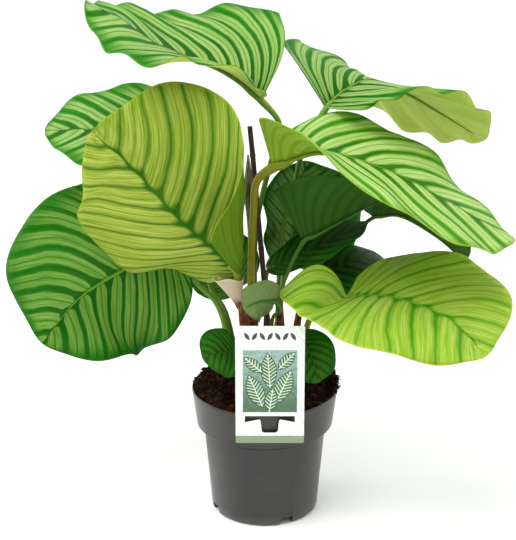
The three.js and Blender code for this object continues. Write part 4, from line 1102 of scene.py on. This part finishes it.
weave = look.add("ShaderNodeTexWave", {"bands_direction": "DIAGONAL"},
                 {"Vector": look.join(px * 0.06, pz * 0.035), "Scale": 1.6, "Distortion": 5.0, "Detail": 2.0})
printed = look.stain(card.paper, weave, *card.shade)
for i in range(card.rowCount):
    lean = -card.rowLean if i % 2 else card.rowLean
    mask, _, _ = leafShape(card.rowStart + card.rowStep * i, card.rowHeight, *card.rowLeaf, lean)
    printed = look.mix(mask, printed, card.rowTone)
panel = look.soft(abs(px), card.panelHalf, card.panelHalf - card.panelEdge)
panel *= look.soft(abs(pz - card.panelHeight), card.panelRise, card.panelRise - card.panelEdge)
wash = look.mix(look.soft(pz, *card.panelFrom), card.panelLow, card.panelHigh)
wash = look.stain(wash, look.grain(look.join(px, pz), 0.25, 4, 0.6), *card.mottle)
printed = look.mix(panel, printed, wash)
for cx, cz, wide, high, lean in card.leaves:
    mask, a, b = leafShape(cx, cz, wide, high, lean)
    striped = look.apart(b * card.stripes - abs(a) * card.stripeSlant)
    leafTone = look.stain(card.leafPale, striped, *card.leafDark)
    leafTone = look.stain(leafTone, abs(a), *card.leafRib)
    rim, _, _ = leafShape(cx, cz, wide + card.outlineWide, high + card.outlineHigh, lean)
    printed = look.mix(rim * panel, printed, card.outline)
    printed = look.mix(mask * panel, printed, leafTone)
printed = look.stain(printed, pz, *card.band)
fleck = look.grain(place, 2400, 2)
printed = look.mix(fleck * card.fleckShare, printed, card.fleck)
colour = look.mix(front, card.back, printed)
cardLook = look.finish(colour, card.rough + fleck * card.fleckRough, card.gloss,
                       look.relief(fleck, 0.08, 0.0003))
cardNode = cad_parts["plant_label"]
cardNode.data.materials.clear()
cardNode.data.materials.append(cardLook)
print("card printed")


studio = Settings(
    floor=60.0, floorHeight=-0.0002, floorRough=0.32, floorGloss=0.35,
    floorShade=tint(249, 249, 249), floorLight=tint(253, 253, 253), world=1.0,
    # place, aim, size and power of each softbox
    lights={
        "keyLight": ((-0.7, -0.8, 2.2), (0, 0, 0.3), (1.2, 1.2), 34.0),
        "leftLight": ((-1.5, 0.3, 0.6), (0, 0, 0.2), (0.5, 1.4), 8.0),
        "rightLight": ((1.5, 0.3, 0.6), (0, 0, 0.2), (0.5, 1.4), 8.0),
    },
    cameraSpot=(-0.0065, -1.3197, 0.7097), cameraAim=(-0.0065, 0, 0.2424), lens=99.65, sensor=36,
)
bpy.ops.object.select_all(action="DESELECT")
bpy.ops.mesh.primitive_plane_add(size=studio.floor, location=(0, 0, studio.floorHeight))
floor = bpy.context.object
floor.name = "studioFloor"
look = Look("paleFloor")
haze = look.grain(look.where(), 1.3, 3)
colour = look.mix(haze, studio.floorShade, studio.floorLight)
floor.data.materials.append(look.finish(colour, studio.floorRough, studio.floorGloss))

world = bpy.data.worlds.new("studioWorld")
bpy.context.scene.world = world
world.use_nodes = True
world.node_tree.nodes["Background"].inputs[0].default_value = (1.0, 1.0, 1.0, 1.0)
world.node_tree.nodes["Background"].inputs[1].default_value = studio.world


def turnTo(spot, aim):
    return (Vector(aim) - Vector(spot)).to_track_quat("-Z", "Y").to_euler()


for name, (spot, aim, size, power) in studio.lights.items():
    bpy.ops.object.light_add(type="AREA", location=spot, rotation=turnTo(spot, aim))
    light = bpy.context.object
    light.name = name
    light.data.shape = "RECTANGLE"
    light.data.size, light.data.size_y = size
    light.data.energy = power

bpy.ops.object.camera_add(location=studio.cameraSpot,
                          rotation=turnTo(studio.cameraSpot, studio.cameraAim))
camera = bpy.context.object
camera.name = "photoCamera"
camera.data.lens = studio.lens
camera.data.sensor_width = studio.sensor
camera.data.dof.use_dof = False
bpy.context.scene.camera = camera
bpy.context.scene.view_settings.view_transform = "Standard"
print("studio set")
